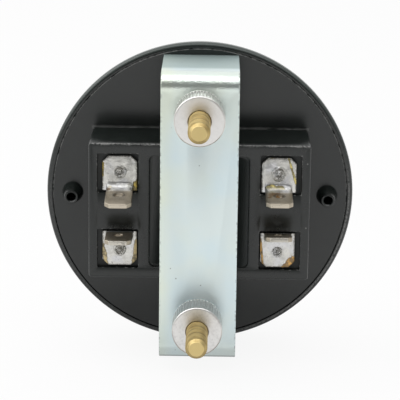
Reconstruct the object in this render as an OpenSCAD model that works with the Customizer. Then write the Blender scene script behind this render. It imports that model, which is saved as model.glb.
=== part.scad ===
// Round panel-mounted hour meter with a digital display, held by a U bracket and two thumb nuts.
// The dial faces -Y and the terminals face +Y. The flange's rear face lies on Y = 0 and +Z is up.
// Left and right are as seen from behind, so left is +X.

/* [Bezel] */
// Outside diameter of the bezel
bezel_d = 58; // [56:0.5:64]
// Wall of the bezel round the rear cover
bezel_wall = 1; // [0.8:0.1:1.3]
// Radius on the bezel's rear edge
rim_round = 0.8; // [0.4:0.1:0.8]
// Straight depth of the rim between its two rounded edges
rim_straight = 0.4; // [0.2:0.1:1.5]
// Radius on the bezel's front edge
front_round = 5; // [4.2:0.1:6]
// Reach of the lip over the edge of the lens
lip_overlap = 2; // [1.5:0.25:4.5]
// Thickness of the lip that holds the lens
lip_t = 1.2; // [0.9:0.1:1.5]
// Chamfer round the opening in the lip
lip_chamfer = 0.8; // [0.3:0.1:0.8]

/* [Lens and display] */
// Distance from the bezel's outside to the edge of the lens and the dial plate
lens_inset = 5.5; // [4.75:0.25:6]
// Thickness of the lens
lens_t = 1.2; // [0.8:0.1:1.5]
// Thickness of the dial plate
dial_t = 0.6; // [0.4:0.1:0.8]
// Distance from the end of the display glass to the opening in the dial plate
view_inset = 1.8; // [1.3:0.1:4.8]
// Height of the display opening in the dial plate
view_h = 8.4; // [6:0.2:10]
// Corner radius of the display opening
view_round = 0.8; // [0.3:0.1:1.5]
// Gap between the display holder and the heads of its screws
head_gap = 0.7; // [0.5:0.1:1.5]
// Height of the front glass of the display
lcd_h = 13; // [12.4:0.2:14]
// Height of the rear glass of the display
lcd_back_h = 8; // [7:0.2:8.2]
// Thickness of each glass of the display
glass_t = 1.1; // [0.7:0.1:1.1]
// Wall of the display holder
holder_wall = 1; // [0.8:0.1:1.1]
// Distance from the end of the display glass to the end of an elastomer contact strip
zebra_inset = 1.3; // [1.05:0.05:2.8]
// Thickness of an elastomer contact strip
zebra_t = 1.6; // [1.2:0.1:1.7]

/* [Rear cover] */
// Thickness of the cover's disc
cover_t = 2; // [1.6:0.1:2.4]
// Chamfer on the disc's rear edge
cover_chamfer = 0.3; // [0.1:0.1:0.5]
// Clearance between moulded pieces that fit together
mould_gap = 0.1; // [0.05:0.01:0.2]
// Width of the terminal block
block_w = 40.4; // [39.8:0.2:44]
// Height of the terminal block
block_h = 25.4; // [24.8:0.2:28]
// Height of the terminal block above the flange
block_depth = 13.4; // [12.6:0.2:14]
// Wall of the terminal block
block_wall = 1.6; // [1.4:0.1:1.7]
// Corner radius of the terminal block
block_round = 0.5; // [0.3:0.1:1.5]
// Chamfer round the block's rear face
block_chamfer = 0.3; // [0.1:0.1:0.5]
// Wall between a terminal's pocket and the shallow recess in the block's rear face
recess_rib = 2; // [1.1:0.1:5.1]
// Height of the shallow recess
recess_h = 21; // [14:0.5:23]
// Depth of the shallow recess
recess_depth = 0.4; // [0.2:0.1:0.6]
// Corner radius of the shallow recess
recess_round = 1; // [0.5:0.1:2]
// Distance from the cover's edge to the middle of a hollow boss
boss_inset = 3.8; // [3.4:0.1:4.5]
// Diameter of a hollow boss at its base
boss_base_d = 4; // [3.4:0.1:4.4]
// Diameter of a hollow boss at its tip
boss_tip_d = 2.6; // [2.3:0.1:3]
// Height of a hollow boss
boss_h = 4; // [2:0.2:5]
// Diameter of the hole in a hollow boss
boss_hole_d = 1.6; // [1:0.1:1.8]
// Depth of the hole in a hollow boss
boss_hole_depth = 5; // [2:0.2:5.2]

/* [Terminals] */
// Distance from the block's side to a contact pin
pin_inset_x = 5.7; // [5.2:0.05:5.9]
// Distance from the block's top or bottom to a contact pin
pin_inset_z = 5.35; // [4.9:0.05:5.6]
// Diameter of a contact pin
pin_d = 1; // [0.8:0.05:1.2]
// Clearance round a contact pin
pin_gap = 0.08; // [0.05:0.01:0.15]
// Length of a contact pin in front of the circuit board
pin_tail = 0.5; // [0.3:0.1:1]
// Diameter of the solder on a foot plate
solder_d = 2.8; // [2:0.1:3.4]
// Height of the solder on a foot plate
solder_h = 0.4; // [0.2:0.05:0.6]
// Width of a terminal's foot plate
foot_w = 6.3; // [5.8:0.1:6.8]
// Length of a terminal's foot plate, bend included
foot_h = 6.8; // [6.2:0.1:7.2]
// Distance from a contact pin to the foot plate's far edge
foot_reach = 3; // [2.6:0.1:3.3]
// Chamfer on the foot plate's far corners
foot_corner = 1.1; // [0.5:0.1:1.6]
// Width of a blade
blade_w = 4.8; // [4:0.1:5.2]
// Thickness of the terminal metal
blade_t = 0.8; // [0.5:0.1:0.9]
// Length of a blade above its foot plate
blade_len = 8; // [6.5:0.1:9]
// Inside radius of the bend between foot plate and blade
blade_bend = 0.5; // [0.3:0.1:0.8]
// Diameter of the hole in a blade
blade_hole_d = 1.6; // [1.2:0.1:2]
// Distance from a blade's tip to its hole
blade_hole_in = 4.2; // [3:0.1:4.8]
// Chamfer on a blade's tip corners
blade_corner = 0.9; // [0.4:0.1:1.4]
// Lean of the upper left blade towards the middle, in degrees
lean_top_left = 10; // [0:0.5:12]
// Lean of the upper right blade towards the middle, in degrees
lean_top_right = 5; // [0:0.5:12]
// Lean of the lower left blade towards the middle, in degrees
lean_bottom_left = 0.5; // [0:0.5:12]
// Lean of the lower right blade towards the middle, in degrees
lean_bottom_right = 9; // [0:0.5:12]
// Depth of the pocket under a foot plate
well_depth = 1; // [0.7:0.1:1.2]
// Gap between foot plate and pocket on the side towards the middle
well_gap_in = 0.25; // [0.1:0.05:0.4]
// Gap between foot plate and pocket on the outer side
well_gap_out = 0.95; // [0.3:0.05:1]
// Gap between foot plate and pocket beyond the far edge
well_gap_far = 0.4; // [0.2:0.05:0.6]
// Gap between foot plate and pocket below the bend
well_gap_near = 0.1; // [0.05:0.05:0.3]

/* [Circuit board] */
// Distance from the flange's rear face to the board's front
board_y = 2; // [1.4:0.1:2.6]
// Thickness of the circuit board
board_t = 1.6; // [1:0.1:1.6]
// Distance from the block's inner wall to a holder screw
screw_inset = 2.4; // [2.2:0.05:2.5]
// Diameter of a holder screw's thread
screw_d = 1.9; // [1.6:0.1:2]
// Diameter of a holder screw's head
screw_head_d = 3.2; // [2.8:0.1:3.4]
// Height of a holder screw's head
screw_head_h = 1.2; // [0.9:0.1:1.4]
// Depth of a holder screw in its post
screw_bite = 5; // [3:0.2:6]
// Diameter of a screw post
post_d = 4.4; // [3.6:0.1:4.4]
// Thickness of the holder's screw lugs
lug_t = 1.2; // [1:0.1:1.6]

/* [Studs and bracket] */
// Distance from the edge of the dial plate to a stud
stud_inset = 4.2; // [4:0.1:5.5]
// Diameter of a stud
stud_d = 3.9; // [3.4:0.1:4]
// Length of a stud behind the flange
stud_len = 33.8; // [30:0.2:38]
// Diameter of a stud's tip
stud_tip_d = 3; // [2.6:0.1:3.3]
// Length of the taper at a stud's tip
stud_taper = 0.7; // [0.4:0.1:1.2]
// Width across the flats of a stud's head
stud_head_af = 6; // [5.5:0.1:6.4]
// Height of a stud's head
stud_head_h = 1.6; // [1.2:0.1:1.8]
// Wall left between a stud's head and the flange's rear face
stud_seat = 1; // [0.8:0.1:1.2]
// Wall round a stud's head
stud_boss_wall = 0.8; // [0.6:0.1:1]
// Clearance between a stud and the holes that it passes through
stud_gap = 0.05; // [0.03:0.01:0.1]
// Width of the bracket
bracket_w = 14; // [11:0.2:15]
// Thickness of the bracket's sheet
bracket_t = 1.2; // [1:0.1:1.5]
// Outside radius of the bracket's bends
bracket_bend = 2.3; // [2:0.1:2.8]
// Height of the bracket's outer face above the flange
bracket_h = 19; // [18.6:0.2:20.4]
// Distance from the corners of a bracket leg to the edge of the cover
leg_inset = 0.3; // [0.2:0.05:1]
// Diameter of the stud holes in the bracket
bracket_hole_d = 4.5; // [4.4:0.1:5]
// Outside diameter of a thumb nut
nut_d = 9.1; // [8:0.1:10]
// Height of a thumb nut
nut_h = 5.5; // [4.5:0.1:6]
// Chamfer on a thumb nut's edges
nut_chamfer = 0.35; // [0.2:0.05:0.5]
// Depth of a thumb nut's straight knurl
knurl_depth = 0.18; // [0.1:0.01:0.25]
// Number of teeth in a thumb nut's knurl
knurl_teeth = 48; // [36:1:60]

/* [Hidden] */
$fn = 96;

LEFT = 1;
RIGHT = -1;
TOP = 1;
BOTTOM = -1;

BLACK_PLASTIC = [0.09, 0.09, 0.09];
CLEAR = [0.85, 0.9, 0.92, 0.35];
DIAL_WHITE = [0.88, 0.88, 0.85];
LCD_GREY = [0.55, 0.6, 0.52];
HOLDER_GREY = [0.5, 0.5, 0.48];
ELASTOMER = [0.75, 0.6, 0.6];
BOARD_GREEN = [0.1, 0.35, 0.18];
CHIP_BLACK = [0.12, 0.12, 0.13];
CAN_METAL = [0.75, 0.76, 0.78];
SLEEVE_BLUE = [0.12, 0.18, 0.4];
RESISTOR_TAN = [0.76, 0.66, 0.48];
TINNED = [0.78, 0.77, 0.75];
BRASS = [0.78, 0.66, 0.36];
ZINC = [0.78, 0.84, 0.85];
NUT_METAL = [0.82, 0.81, 0.8];
SCREW_STEEL = [0.6, 0.6, 0.62];

// Length by which a cutting shape passes the surface that it cuts
over = 1;

// Places along Y, from the front of the bezel to the tips of the studs
bezel_r = bezel_d / 2;
lens_d = bezel_d - 2 * lens_inset;
window_d = lens_d - 2 * lip_overlap;
rim_y = rim_round + rim_straight;
bezel_front = rim_y + front_round;
lens_front = bezel_front - lip_t;
lens_back = lens_front - lens_t;
dial_back = lens_back - dial_t;
lcd_step = dial_back - glass_t;
lcd_back = lcd_step - glass_t;
board_back = board_y + board_t;
roof_y = block_depth - block_wall;
well_floor = block_depth - well_depth;
foot_top = well_floor + blade_t;

// Cover and its cavity
cover_r = bezel_r - bezel_wall - mould_gap;
rib_r = lens_d / 2 - mould_gap;
rib_wall = 1.2;
cavity_w = block_w - 2 * block_wall;
cavity_h = block_h - 2 * block_wall;
boss_pitch = 2 * (cover_r - boss_inset);
pin_pitch_x = block_w - 2 * pin_inset_x;
pin_pitch_z = block_h - 2 * pin_inset_z;
recess_w = pin_pitch_x - foot_w - 2 * (well_gap_in + recess_rib);
screw_pitch = cavity_w - 2 * screw_inset;
boss_hole_floor = boss_h - boss_hole_depth;
stud_front = stud_seat + stud_head_h;
stud_pitch = lens_d - 2 * stud_inset;
stud_z = stud_pitch / 2;
stud_head_d = stud_head_af / cos(30);
stud_boss_d = stud_head_d + 2 * (mould_gap + stud_boss_wall);

// Display and its holder, which fills the width between the heads of its screws
holder_w = screw_pitch - screw_head_d - 2 * head_gap;
lcd_pocket_w = holder_w - 2 * holder_wall;
lcd_w = lcd_pocket_w - 2 * mould_gap;
view_w = lcd_w - 2 * view_inset;
zebra_w = lcd_w - 2 * zebra_inset;
lcd_pocket_h = lcd_h + 2 * mould_gap;
holder_h = lcd_pocket_h + 2 * holder_wall;
holder_bar = 0.5;
holder_light_h = lcd_back_h + 2 * mould_gap;
zebra_slot_t = zebra_t + 2 * mould_gap;
zebra_z = holder_light_h / 2 + holder_bar + zebra_slot_t / 2;
lug_side = 0.6;
lug_edge = 0.3;
lug_w = screw_head_d + 2 * lug_side;
lug_end = screw_pitch / 2 + screw_head_d / 2 + lug_edge;
screw_gap = 0.15;
screw_hole_d = screw_d + 2 * screw_gap;
screw_root_gap = 0.05;
screw_root_d = screw_d + 2 * screw_root_gap;

// Circuit board
board_gap = 0.2;
board_w = cavity_w - 2 * board_gap;
board_h = cavity_h - 2 * board_gap;

// Terminal
blade_bend_out = blade_bend + blade_t;
bend_thin = 0.02;
foot_near = foot_reach - foot_h;
bend_z = foot_near + blade_bend_out;
ear_step = 0.3;
ear_z = foot_near + ear_step;
ear_slot = 0.15;
blade_straight = blade_len - blade_bend;
foot_hole_d = pin_d + 2 * pin_gap;

// Bracket and nuts
leg_z = sqrt(pow(cover_r - leg_inset, 2) - pow(bracket_w / 2, 2));
strap_end = leg_z - bracket_bend;
nut_r = nut_d / 2;
nut_bore_d = stud_d + 2 * stud_gap;
thread_entry = 0.3;

// Places of the parts on the board's rear, as X and Z from the middle of the board.
// The upper row is set out from the left screw: crystal, controller and resistor.
crystal_in = 6.2;
chip_step = 10;
resistor_step = 10.5;
chip_z = 4;
crystal_z = 3;
crystal_at = [screw_pitch / 2 - crystal_in, crystal_z];
chip_at = [crystal_at[0] - chip_step, chip_z];
resistor_at = [chip_at[0] - resistor_step, chip_z];
memory_at = [-8, -6];
capacitor_at = [9.5, -5.5];
rectifier_at = [2, -6.5];
regulator_at = [-3.2, -6];
// Gap between the board and a can or resistor that lies on it
lie_gap = 0.05;

// Flat packages: width, height, thickness, pitch of the leads and span over them, and leads in a row
chip_size = [12.8, 7.5, 2.3, 1.27, 10.3];
chip_leads = 10;
memory_size = [4.9, 3.9, 1.5, 1.27, 6];
memory_leads = 4;
rectifier_size = [4.7, 3.9, 2.4, 2.5, 6.6];
rectifier_leads = 2;
regulator_size = [3, 1.7, 1.1, 0.95, 2.8];
regulator_leads = 3;

// Flat shape in X and Z, thickened from y0 to y1
module slab(y0, y1) {
    translate([0, y1, 0])
        rotate([90, 0, 0])
            linear_extrude(height = y1 - y0)
                children();
}

// Flat shape in Y and Z, thickened across X about the middle plane
module across(width) {
    translate([-width / 2, 0, 0])
        rotate([90, 0, 90])
            linear_extrude(height = width)
                children();
}

// Profile in radius and Y, turned about the Y axis
module turned() {
    rotate([-90, 0, 0])
        rotate_extrude()
            children();
}

// Round bar along Y from y0 to y1
module bar(d, y0, y1) {
    translate([0, y0, 0])
        rotate([-90, 0, 0])
            cylinder(d = d, h = y1 - y0);
}

// Cone along Y from diameter d0 at y0 to d1 at y1
module taper(d0, d1, y0, y1) {
    translate([0, y0, 0])
        rotate([-90, 0, 0])
            cylinder(d1 = d0, d2 = d1, h = y1 - y0);
}

// Rectangle about the origin with round corners
module round_rect(w, h, r) {
    square([w - 2 * r, h], center = true);
    square([w, h - 2 * r], center = true);
    for (x = [-1, 1])
        for (z = [-1, 1])
            translate([x * (w / 2 - r), z * (h / 2 - r)])
                circle(r = r);
}

// Copies at the left and right, with X mirrored on the right
module both_sides() {
    for (side = [0, 1])
        mirror([side, 0, 0])
            children();
}

// Copies above and below, with Z mirrored below
module both_rows() {
    for (row = [0, 1])
        mirror([0, 0, row])
            children();
}

// One contact pin's axis, mirrored so that the middle of the meter lies the same way for all four
module at_pin(side, row) {
    mirror([side == LEFT ? 0 : 1, 0, 0])
        mirror([0, 0, row == TOP ? 0 : 1])
            translate([pin_pitch_x / 2, 0, pin_pitch_z / 2])
                children();
}

module bezel_profile() {
    difference() {
        union() {
            translate([0, -bezel_front])
                square([bezel_r - front_round, bezel_front]);
            translate([0, -rim_y])
                square([bezel_r - rim_round, rim_y]);
            translate([0, -rim_y])
                square([bezel_r, rim_straight]);
            translate([bezel_r - rim_round, -rim_round])
                circle(r = rim_round);
            translate([bezel_r - front_round, -rim_y])
                intersection() {
                    circle(r = front_round);
                    translate([0, -front_round])
                        square(front_round);
                }
        }
        translate([0, -cover_t])
            square([cover_r + mould_gap, cover_t + over]);
        translate([0, -lens_front])
            square([lens_d / 2 + mould_gap, lens_front]);
        translate([0, -bezel_front - over])
            square([window_d / 2, lip_t + 2 * over]);
        polygon([
            [0, -bezel_front],
            [window_d / 2 + lip_chamfer, -bezel_front],
            [window_d / 2, lip_chamfer - bezel_front],
            [0, lip_chamfer - bezel_front]
        ]);
    }
}

module bezel() {
    color(BLACK_PLASTIC)
        turned()
            bezel_profile();
}

module lens() {
    color(CLEAR)
        bar(lens_d, -lens_front, -lens_back);
}

module dial_plate() {
    color(DIAL_WHITE)
        slab(-lens_back, -dial_back)
            difference() {
                circle(d = lens_d);
                round_rect(view_w, view_h, view_round);
            }
}

module lcd_glass() {
    color(LCD_GREY) {
        slab(-dial_back, -lcd_step)
            square([lcd_w, lcd_h], center = true);
        slab(-lcd_step, -lcd_back)
            square([lcd_w, lcd_back_h], center = true);
    }
}

module lcd_frame() {
    color(HOLDER_GREY)
        difference() {
            union() {
                slab(-dial_back, board_y)
                    square([holder_w, holder_h], center = true);
                slab(board_y - lug_t, board_y)
                    square([2 * lug_end, lug_w], center = true);
            }
            slab(-dial_back - over, -lcd_step)
                square([lcd_pocket_w, lcd_pocket_h], center = true);
            slab(-lcd_step - over, board_y + over)
                square([lcd_pocket_w, holder_light_h], center = true);
            both_rows()
                slab(-lcd_step - over, board_y + over)
                    translate([0, zebra_z])
                        square([zebra_w + 2 * mould_gap, zebra_slot_t], center = true);
            both_sides()
                translate([screw_pitch / 2, 0, 0])
                    bar(screw_hole_d, board_y - lug_t - over, board_y + over);
        }
}

module zebra_strip(row) {
    color(ELASTOMER)
        slab(-lcd_step, board_y)
            translate([0, row * zebra_z])
                square([zebra_w, zebra_t], center = true);
}

module zebra_upper() {
    zebra_strip(TOP);
}

module zebra_lower() {
    zebra_strip(BOTTOM);
}

module circuit_board() {
    color(BOARD_GREEN)
        difference() {
            slab(board_y, board_back)
                square([board_w, board_h], center = true);
            for (side = [LEFT, RIGHT])
                for (row = [TOP, BOTTOM])
                    at_pin(side, row)
                        bar(pin_d + 2 * pin_gap, board_y - over, board_back + over);
            both_sides()
                translate([screw_pitch / 2, 0, 0])
                    bar(screw_hole_d, board_y - over, board_back + over);
        }
}

// Flat package on the board's rear: a body on two rows of bent leads, with a dot at the first lead
module flat_package(at, size, leads) {
    w = size[0];
    h = size[1];
    t = size[2];
    pitch = size[3];
    lead_run = (size[4] - h) / 4;
    lead_w = 0.42;
    lead_t = 0.2;
    stand = 0.15;
    dot_d = 0.8;
    dot_depth = 0.1;
    translate([at[0], board_back, at[1]]) {
        difference() {
            slab(stand, stand + t)
                square([w, h], center = true);
            translate([dot_d - w / 2, 0, dot_d - h / 2])
                bar(dot_d, stand + t - dot_depth, stand + t + over);
        }
        for (i = [0 : leads - 1])
            for (row = [0, 1])
                mirror([0, 0, row])
                    translate([(i - (leads - 1) / 2) * pitch, 0, 0])
                        across(lead_w) {
                            translate([stand + t / 2 - lead_t / 2, h / 2 - lead_t])
                                square([lead_t, lead_run + lead_t]);
                            translate([0, h / 2 + lead_run - lead_t])
                                square([stand + t / 2 + lead_t / 2, lead_t]);
                            translate([0, h / 2 + lead_run - lead_t])
                                square([lead_t, lead_run + lead_t]);
                        }
    }
}

module controller_chip() {
    color(CHIP_BLACK)
        flat_package(chip_at, chip_size, chip_leads);
}

module memory_chip() {
    color(CHIP_BLACK)
        flat_package(memory_at, memory_size, memory_leads);
}

module rectifier() {
    color(CHIP_BLACK)
        flat_package(rectifier_at, rectifier_size, rectifier_leads);
}

module regulator() {
    color(CHIP_BLACK)
        flat_package(regulator_at, regulator_size, regulator_leads);
}

// Small can lying along X with two wires bent down to the board
module quartz_crystal() {
    can_d = 2.1;
    can_len = 6;
    rim_d = 2.5;
    rim_len = 0.5;
    wire_d = 0.35;
    wire_gap = 0.7;
    wire_out = 0.8;
    lift = rim_d / 2 + lie_gap;
    color(CAN_METAL)
        translate([crystal_at[0], board_back + lift, crystal_at[1]]) {
            rotate([0, 90, 0])
                translate([0, 0, -can_len / 2])
                    cylinder(d = can_d, h = can_len);
            rotate([0, 90, 0])
                translate([0, 0, can_len / 2 - rim_len])
                    cylinder(d = rim_d, h = rim_len);
            for (side = [-1, 1]) {
                translate([can_len / 2 - rim_len, 0, side * wire_gap / 2])
                    rotate([0, 90, 0])
                        cylinder(d = wire_d, h = rim_len + wire_out);
                translate([can_len / 2 + wire_out - wire_d / 2, 0, side * wire_gap / 2])
                    bar(wire_d, -lift, wire_d / 2);
            }
        }
}

// Upright can with a crimped groove above its seal
module capacitor() {
    can_d = 5;
    can_h = 6.6;
    groove_y = 1.3;
    groove_r = 0.35;
    top_round = 0.4;
    color(SLEEVE_BLUE)
        translate([capacitor_at[0], board_back, capacitor_at[1]])
            turned()
                difference() {
                    union() {
                        square([can_d / 2 - top_round, can_h]);
                        square([can_d / 2, can_h - top_round]);
                        translate([can_d / 2 - top_round, can_h - top_round])
                            circle(r = top_round);
                    }
                    translate([can_d / 2 + groove_r / 2, groove_y])
                        circle(r = groove_r);
                }
}

// Resistor lying along X, wider at its end caps, with its wires bent down to the board
module dropper_resistor() {
    body_d = 1.9;
    cap_d = 2.3;
    cap_len = 1.2;
    body_len = 5.6;
    wire_d = 0.5;
    wire_out = 0.9;
    lift = cap_d / 2 + lie_gap;
    color(RESISTOR_TAN)
        translate([resistor_at[0], board_back + lift, resistor_at[1]]) {
            rotate([0, 90, 0])
                translate([0, 0, -body_len / 2])
                    cylinder(d = body_d, h = body_len);
            for (side = [0, 1])
                mirror([side, 0, 0]) {
                    rotate([0, 90, 0])
                        translate([0, 0, body_len / 2 - cap_len])
                            cylinder(d = cap_d, h = cap_len);
                    translate([body_len / 2 - cap_len, 0, 0])
                        rotate([0, 90, 0])
                            cylinder(d = wire_d, h = cap_len + wire_out);
                    translate([body_len / 2 + wire_out - wire_d / 2, 0, 0])
                        bar(wire_d, -lift, wire_d / 2);
                }
        }
}

// Pan-head screw through the holder's lug and the board into a post of the cover
module frame_screw(side) {
    seat = board_y - lug_t;
    head_round = screw_head_h / 3;
    slot_w = 0.5;
    slot_depth = screw_head_h / 2;
    color(SCREW_STEEL)
        translate([side * screw_pitch / 2, 0, 0])
            difference() {
                union() {
                    bar(screw_d, seat - over / 2, board_back + screw_bite);
                    turned() {
                        translate([0, seat - screw_head_h])
                            square([screw_head_d / 2 - head_round, screw_head_h]);
                        translate([0, seat - screw_head_h + head_round])
                            square([screw_head_d / 2, screw_head_h - head_round]);
                        translate([screw_head_d / 2 - head_round, seat - screw_head_h + head_round])
                            circle(r = head_round);
                    }
                }
                slab(seat - screw_head_h - over, seat - screw_head_h + slot_depth)
                    square([screw_head_d + over, slot_w], center = true);
            }
}

module frame_screw_left() {
    frame_screw(LEFT);
}

module frame_screw_right() {
    frame_screw(RIGHT);
}

// Outside of the disc, the block, the hollow bosses and the rib that presses on the dial plate
module cover_body() {
    bar(2 * cover_r, -cover_t, -cover_chamfer);
    taper(2 * cover_r, 2 * (cover_r - cover_chamfer), -cover_chamfer, 0);
    slab(-cover_t, block_depth)
        round_rect(block_w, block_h, block_round);
    both_sides()
        translate([boss_pitch / 2, 0, 0])
            taper(boss_base_d, boss_tip_d, 0, boss_h);
    difference() {
        bar(2 * rib_r, -dial_back, -cover_t / 2);
        bar(2 * (rib_r - rib_wall), -dial_back - over, -cover_t / 2 + over);
    }
    intersection() {
        both_rows()
            translate([0, 0, stud_z])
                bar(stud_boss_d, -max(stud_front, cover_t), -cover_t / 2);
        bar(2 * rib_r, -dial_back, 0);
    }
}

// Bevel along the four edges of the block's rear face
module block_bevel() {
    side = block_chamfer * sqrt(2);
    both_rows()
        translate([0, block_depth, block_h / 2])
            rotate([45, 0, 0])
                cube([block_w + over, side, side], center = true);
    both_sides()
        translate([block_w / 2, block_depth, 0])
            rotate([0, 0, 45])
                cube([side, side, block_h + over], center = true);
}

// Pocket for one terminal, about its contact pin
module terminal_well() {
    slab(well_floor, block_depth + over)
        translate([-foot_w / 2 - well_gap_in, foot_near - well_gap_near])
            square([foot_w + well_gap_in + well_gap_out, foot_h + well_gap_near + well_gap_far]);
    bar(foot_hole_d, roof_y - over, well_floor + over);
}

module rear_cover() {
    color(BLACK_PLASTIC) {
        difference() {
            cover_body();
            slab(-dial_back - over, roof_y)
                square([cavity_w, cavity_h], center = true);
            block_bevel();
            slab(block_depth - recess_depth, block_depth + over)
                round_rect(recess_w, recess_h, recess_round);
            for (side = [LEFT, RIGHT])
                for (row = [TOP, BOTTOM])
                    at_pin(side, row)
                        terminal_well();
            both_sides()
                translate([boss_pitch / 2, 0, 0])
                    bar(boss_hole_d, boss_hole_floor, boss_h + over);
            both_rows()
                translate([0, 0, stud_z]) {
                    bar(stud_d + 2 * stud_gap, -stud_front - over, over);
                    slab(-dial_back - over, -stud_seat)
                        circle(d = stud_head_d + 2 * mould_gap, $fn = 6);
                }
        }
        both_sides()
            translate([screw_pitch / 2, 0, 0])
                difference() {
                    bar(post_d, board_back, roof_y);
                    bar(screw_root_d, board_back - over, board_back + screw_bite + screw_root_gap);
                }
    }
}

// Pin from the board to the foot plate, with the solder that joins it there
module contact_pin(side, row) {
    color(TINNED)
        at_pin(side, row) {
            bar(pin_d, board_y - pin_tail, foot_top + solder_h);
            taper(solder_d, pin_d + 2 * pin_gap, foot_top, foot_top + solder_h);
        }
}

module contact_pin_top_left() {
    contact_pin(LEFT, TOP);
}

module contact_pin_top_right() {
    contact_pin(RIGHT, TOP);
}

module contact_pin_bottom_left() {
    contact_pin(LEFT, BOTTOM);
}

module contact_pin_bottom_right() {
    contact_pin(RIGHT, BOTTOM);
}

// Foot plate about its contact pin, with an ear on each side of the bend
module foot_outline() {
    half = foot_w / 2;
    inner = blade_w / 2 + ear_slot;
    difference() {
        polygon([
            [-half, ear_z],
            [-half, foot_reach - foot_corner],
            [foot_corner - half, foot_reach],
            [half - foot_corner, foot_reach],
            [half, foot_reach - foot_corner],
            [half, ear_z],
            [inner, ear_z],
            [inner, bend_z],
            [-inner, bend_z],
            [-inner, ear_z]
        ]);
        circle(d = foot_hole_d);
    }
}

// Blade with chamfered tip corners, standing on X from the end of its bend
module blade_outline() {
    half = blade_w / 2;
    difference() {
        polygon([
            [-half, 0],
            [half, 0],
            [half, blade_straight - blade_corner],
            [half - blade_corner, blade_straight],
            [blade_corner - half, blade_straight],
            [-half, blade_straight - blade_corner]
        ]);
        translate([0, blade_straight - blade_hole_in])
            circle(d = blade_hole_d);
    }
}

// Bend between foot plate and blade about its own axis, cut off where the plate and the blade begin.
// The sheet draws in a little on all sides where it is bent.
module blade_turn(lean) {
    reach = 2 * blade_bend_out;
    intersection() {
        across(blade_w - 2 * bend_thin)
            difference() {
                circle(r = blade_bend_out - bend_thin);
                circle(r = blade_bend + bend_thin);
            }
        translate([-blade_w, -reach, -reach])
            cube([2 * blade_w, 2 * reach, reach]);
        rotate([-lean, 0, 0])
            translate([-blade_w, -reach, -reach])
                cube([2 * blade_w, reach, 2 * reach]);
    }
}

// Foot plate in its pocket, and the blade that stands up from the plate's edge nearest the middle
module blade_terminal(side, row, lean) {
    color(TINNED)
        at_pin(side, row)
            translate([0, well_floor, 0]) {
                slab(0, blade_t)
                    foot_outline();
                translate([0, blade_bend_out, bend_z]) {
                    blade_turn(lean);
                    rotate([-lean, 0, 0])
                        translate([0, 0, -blade_bend_out])
                            linear_extrude(height = blade_t)
                                blade_outline();
                }
            }
}

module terminal_top_left() {
    blade_terminal(LEFT, TOP, lean_top_left);
}

module terminal_top_right() {
    blade_terminal(RIGHT, TOP, lean_top_right);
}

module terminal_bottom_left() {
    blade_terminal(LEFT, BOTTOM, lean_bottom_left);
}

module terminal_bottom_right() {
    blade_terminal(RIGHT, BOTTOM, lean_bottom_right);
}

// Stud with a hexagon head held in the cover, its thread drawn at the outside diameter
module stud(row) {
    color(BRASS)
        translate([0, 0, row * stud_z]) {
            slab(-stud_front, -stud_seat)
                circle(d = stud_head_d, $fn = 6);
            bar(stud_d, -stud_seat, stud_len - stud_taper);
            taper(stud_d, stud_tip_d, stud_len - stud_taper, stud_len);
        }
}

module stud_top() {
    stud(TOP);
}

module stud_bottom() {
    stud(BOTTOM);
}

// Half of the bracket's section: strap, bend and leg
module half_bracket_section() {
    translate([bracket_h - bracket_t, 0])
        square([bracket_t, strap_end]);
    translate([bracket_h - bracket_bend, strap_end])
        difference() {
            intersection() {
                circle(r = bracket_bend);
                square(bracket_bend);
            }
            circle(r = bracket_bend - bracket_t);
        }
    translate([0, leg_z - bracket_t])
        square([bracket_h - bracket_bend, bracket_t]);
}

module bracket() {
    color(ZINC)
        difference() {
            across(bracket_w) {
                half_bracket_section();
                mirror([0, 1])
                    half_bracket_section();
            }
            both_rows()
                translate([0, 0, stud_z])
                    bar(bracket_hole_d, bracket_h - bracket_t - over, bracket_h + over);
        }
}

// Star-shaped section of a straight knurl
module knurl_section() {
    polygon([
        for (i = [0 : 2 * knurl_teeth - 1])
            let (r = i % 2 == 0 ? nut_r : nut_r - knurl_depth, a = 180 * i / knurl_teeth)
                [r * cos(a), r * sin(a)]
    ]);
}

// Knurled thumb nut, chamfered at both ends, seated on the bracket
module thumb_nut(row) {
    entry_d = nut_bore_d + 2 * thread_entry;
    color(NUT_METAL)
        translate([0, bracket_h, row * stud_z])
            difference() {
                intersection() {
                    slab(0, nut_h)
                        knurl_section();
                    turned()
                        polygon([
                            [0, 0],
                            [nut_r - nut_chamfer, 0],
                            [nut_r, nut_chamfer],
                            [nut_r, nut_h - nut_chamfer],
                            [nut_r - nut_chamfer, nut_h],
                            [0, nut_h]
                        ]);
                }
                bar(nut_bore_d, -over, nut_h + over);
                taper(entry_d, nut_bore_d, 0, thread_entry);
                taper(nut_bore_d, entry_d, nut_h - thread_entry, nut_h);
            }
}

module nut_top() {
    thumb_nut(TOP);
}

module nut_bottom() {
    thumb_nut(BOTTOM);
}

bezel();
lens();
dial_plate();
lcd_glass();
lcd_frame();
zebra_upper();
zebra_lower();
circuit_board();
controller_chip();
memory_chip();
quartz_crystal();
capacitor();
rectifier();
dropper_resistor();
regulator();
frame_screw_left();
frame_screw_right();
rear_cover();
contact_pin_top_left();
contact_pin_top_right();
contact_pin_bottom_left();
contact_pin_bottom_right();
terminal_top_left();
terminal_top_right();
terminal_bottom_left();
terminal_bottom_right();
stud_top();
stud_bottom();
bracket();
nut_top();
nut_bottom();
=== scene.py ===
"""Dresses a round panel-mounted hour meter: moulded case, bracket, thumb nuts, studs and blade terminals."""

import math

import bmesh
import bpy
from mathutils import Matrix, Vector


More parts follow.
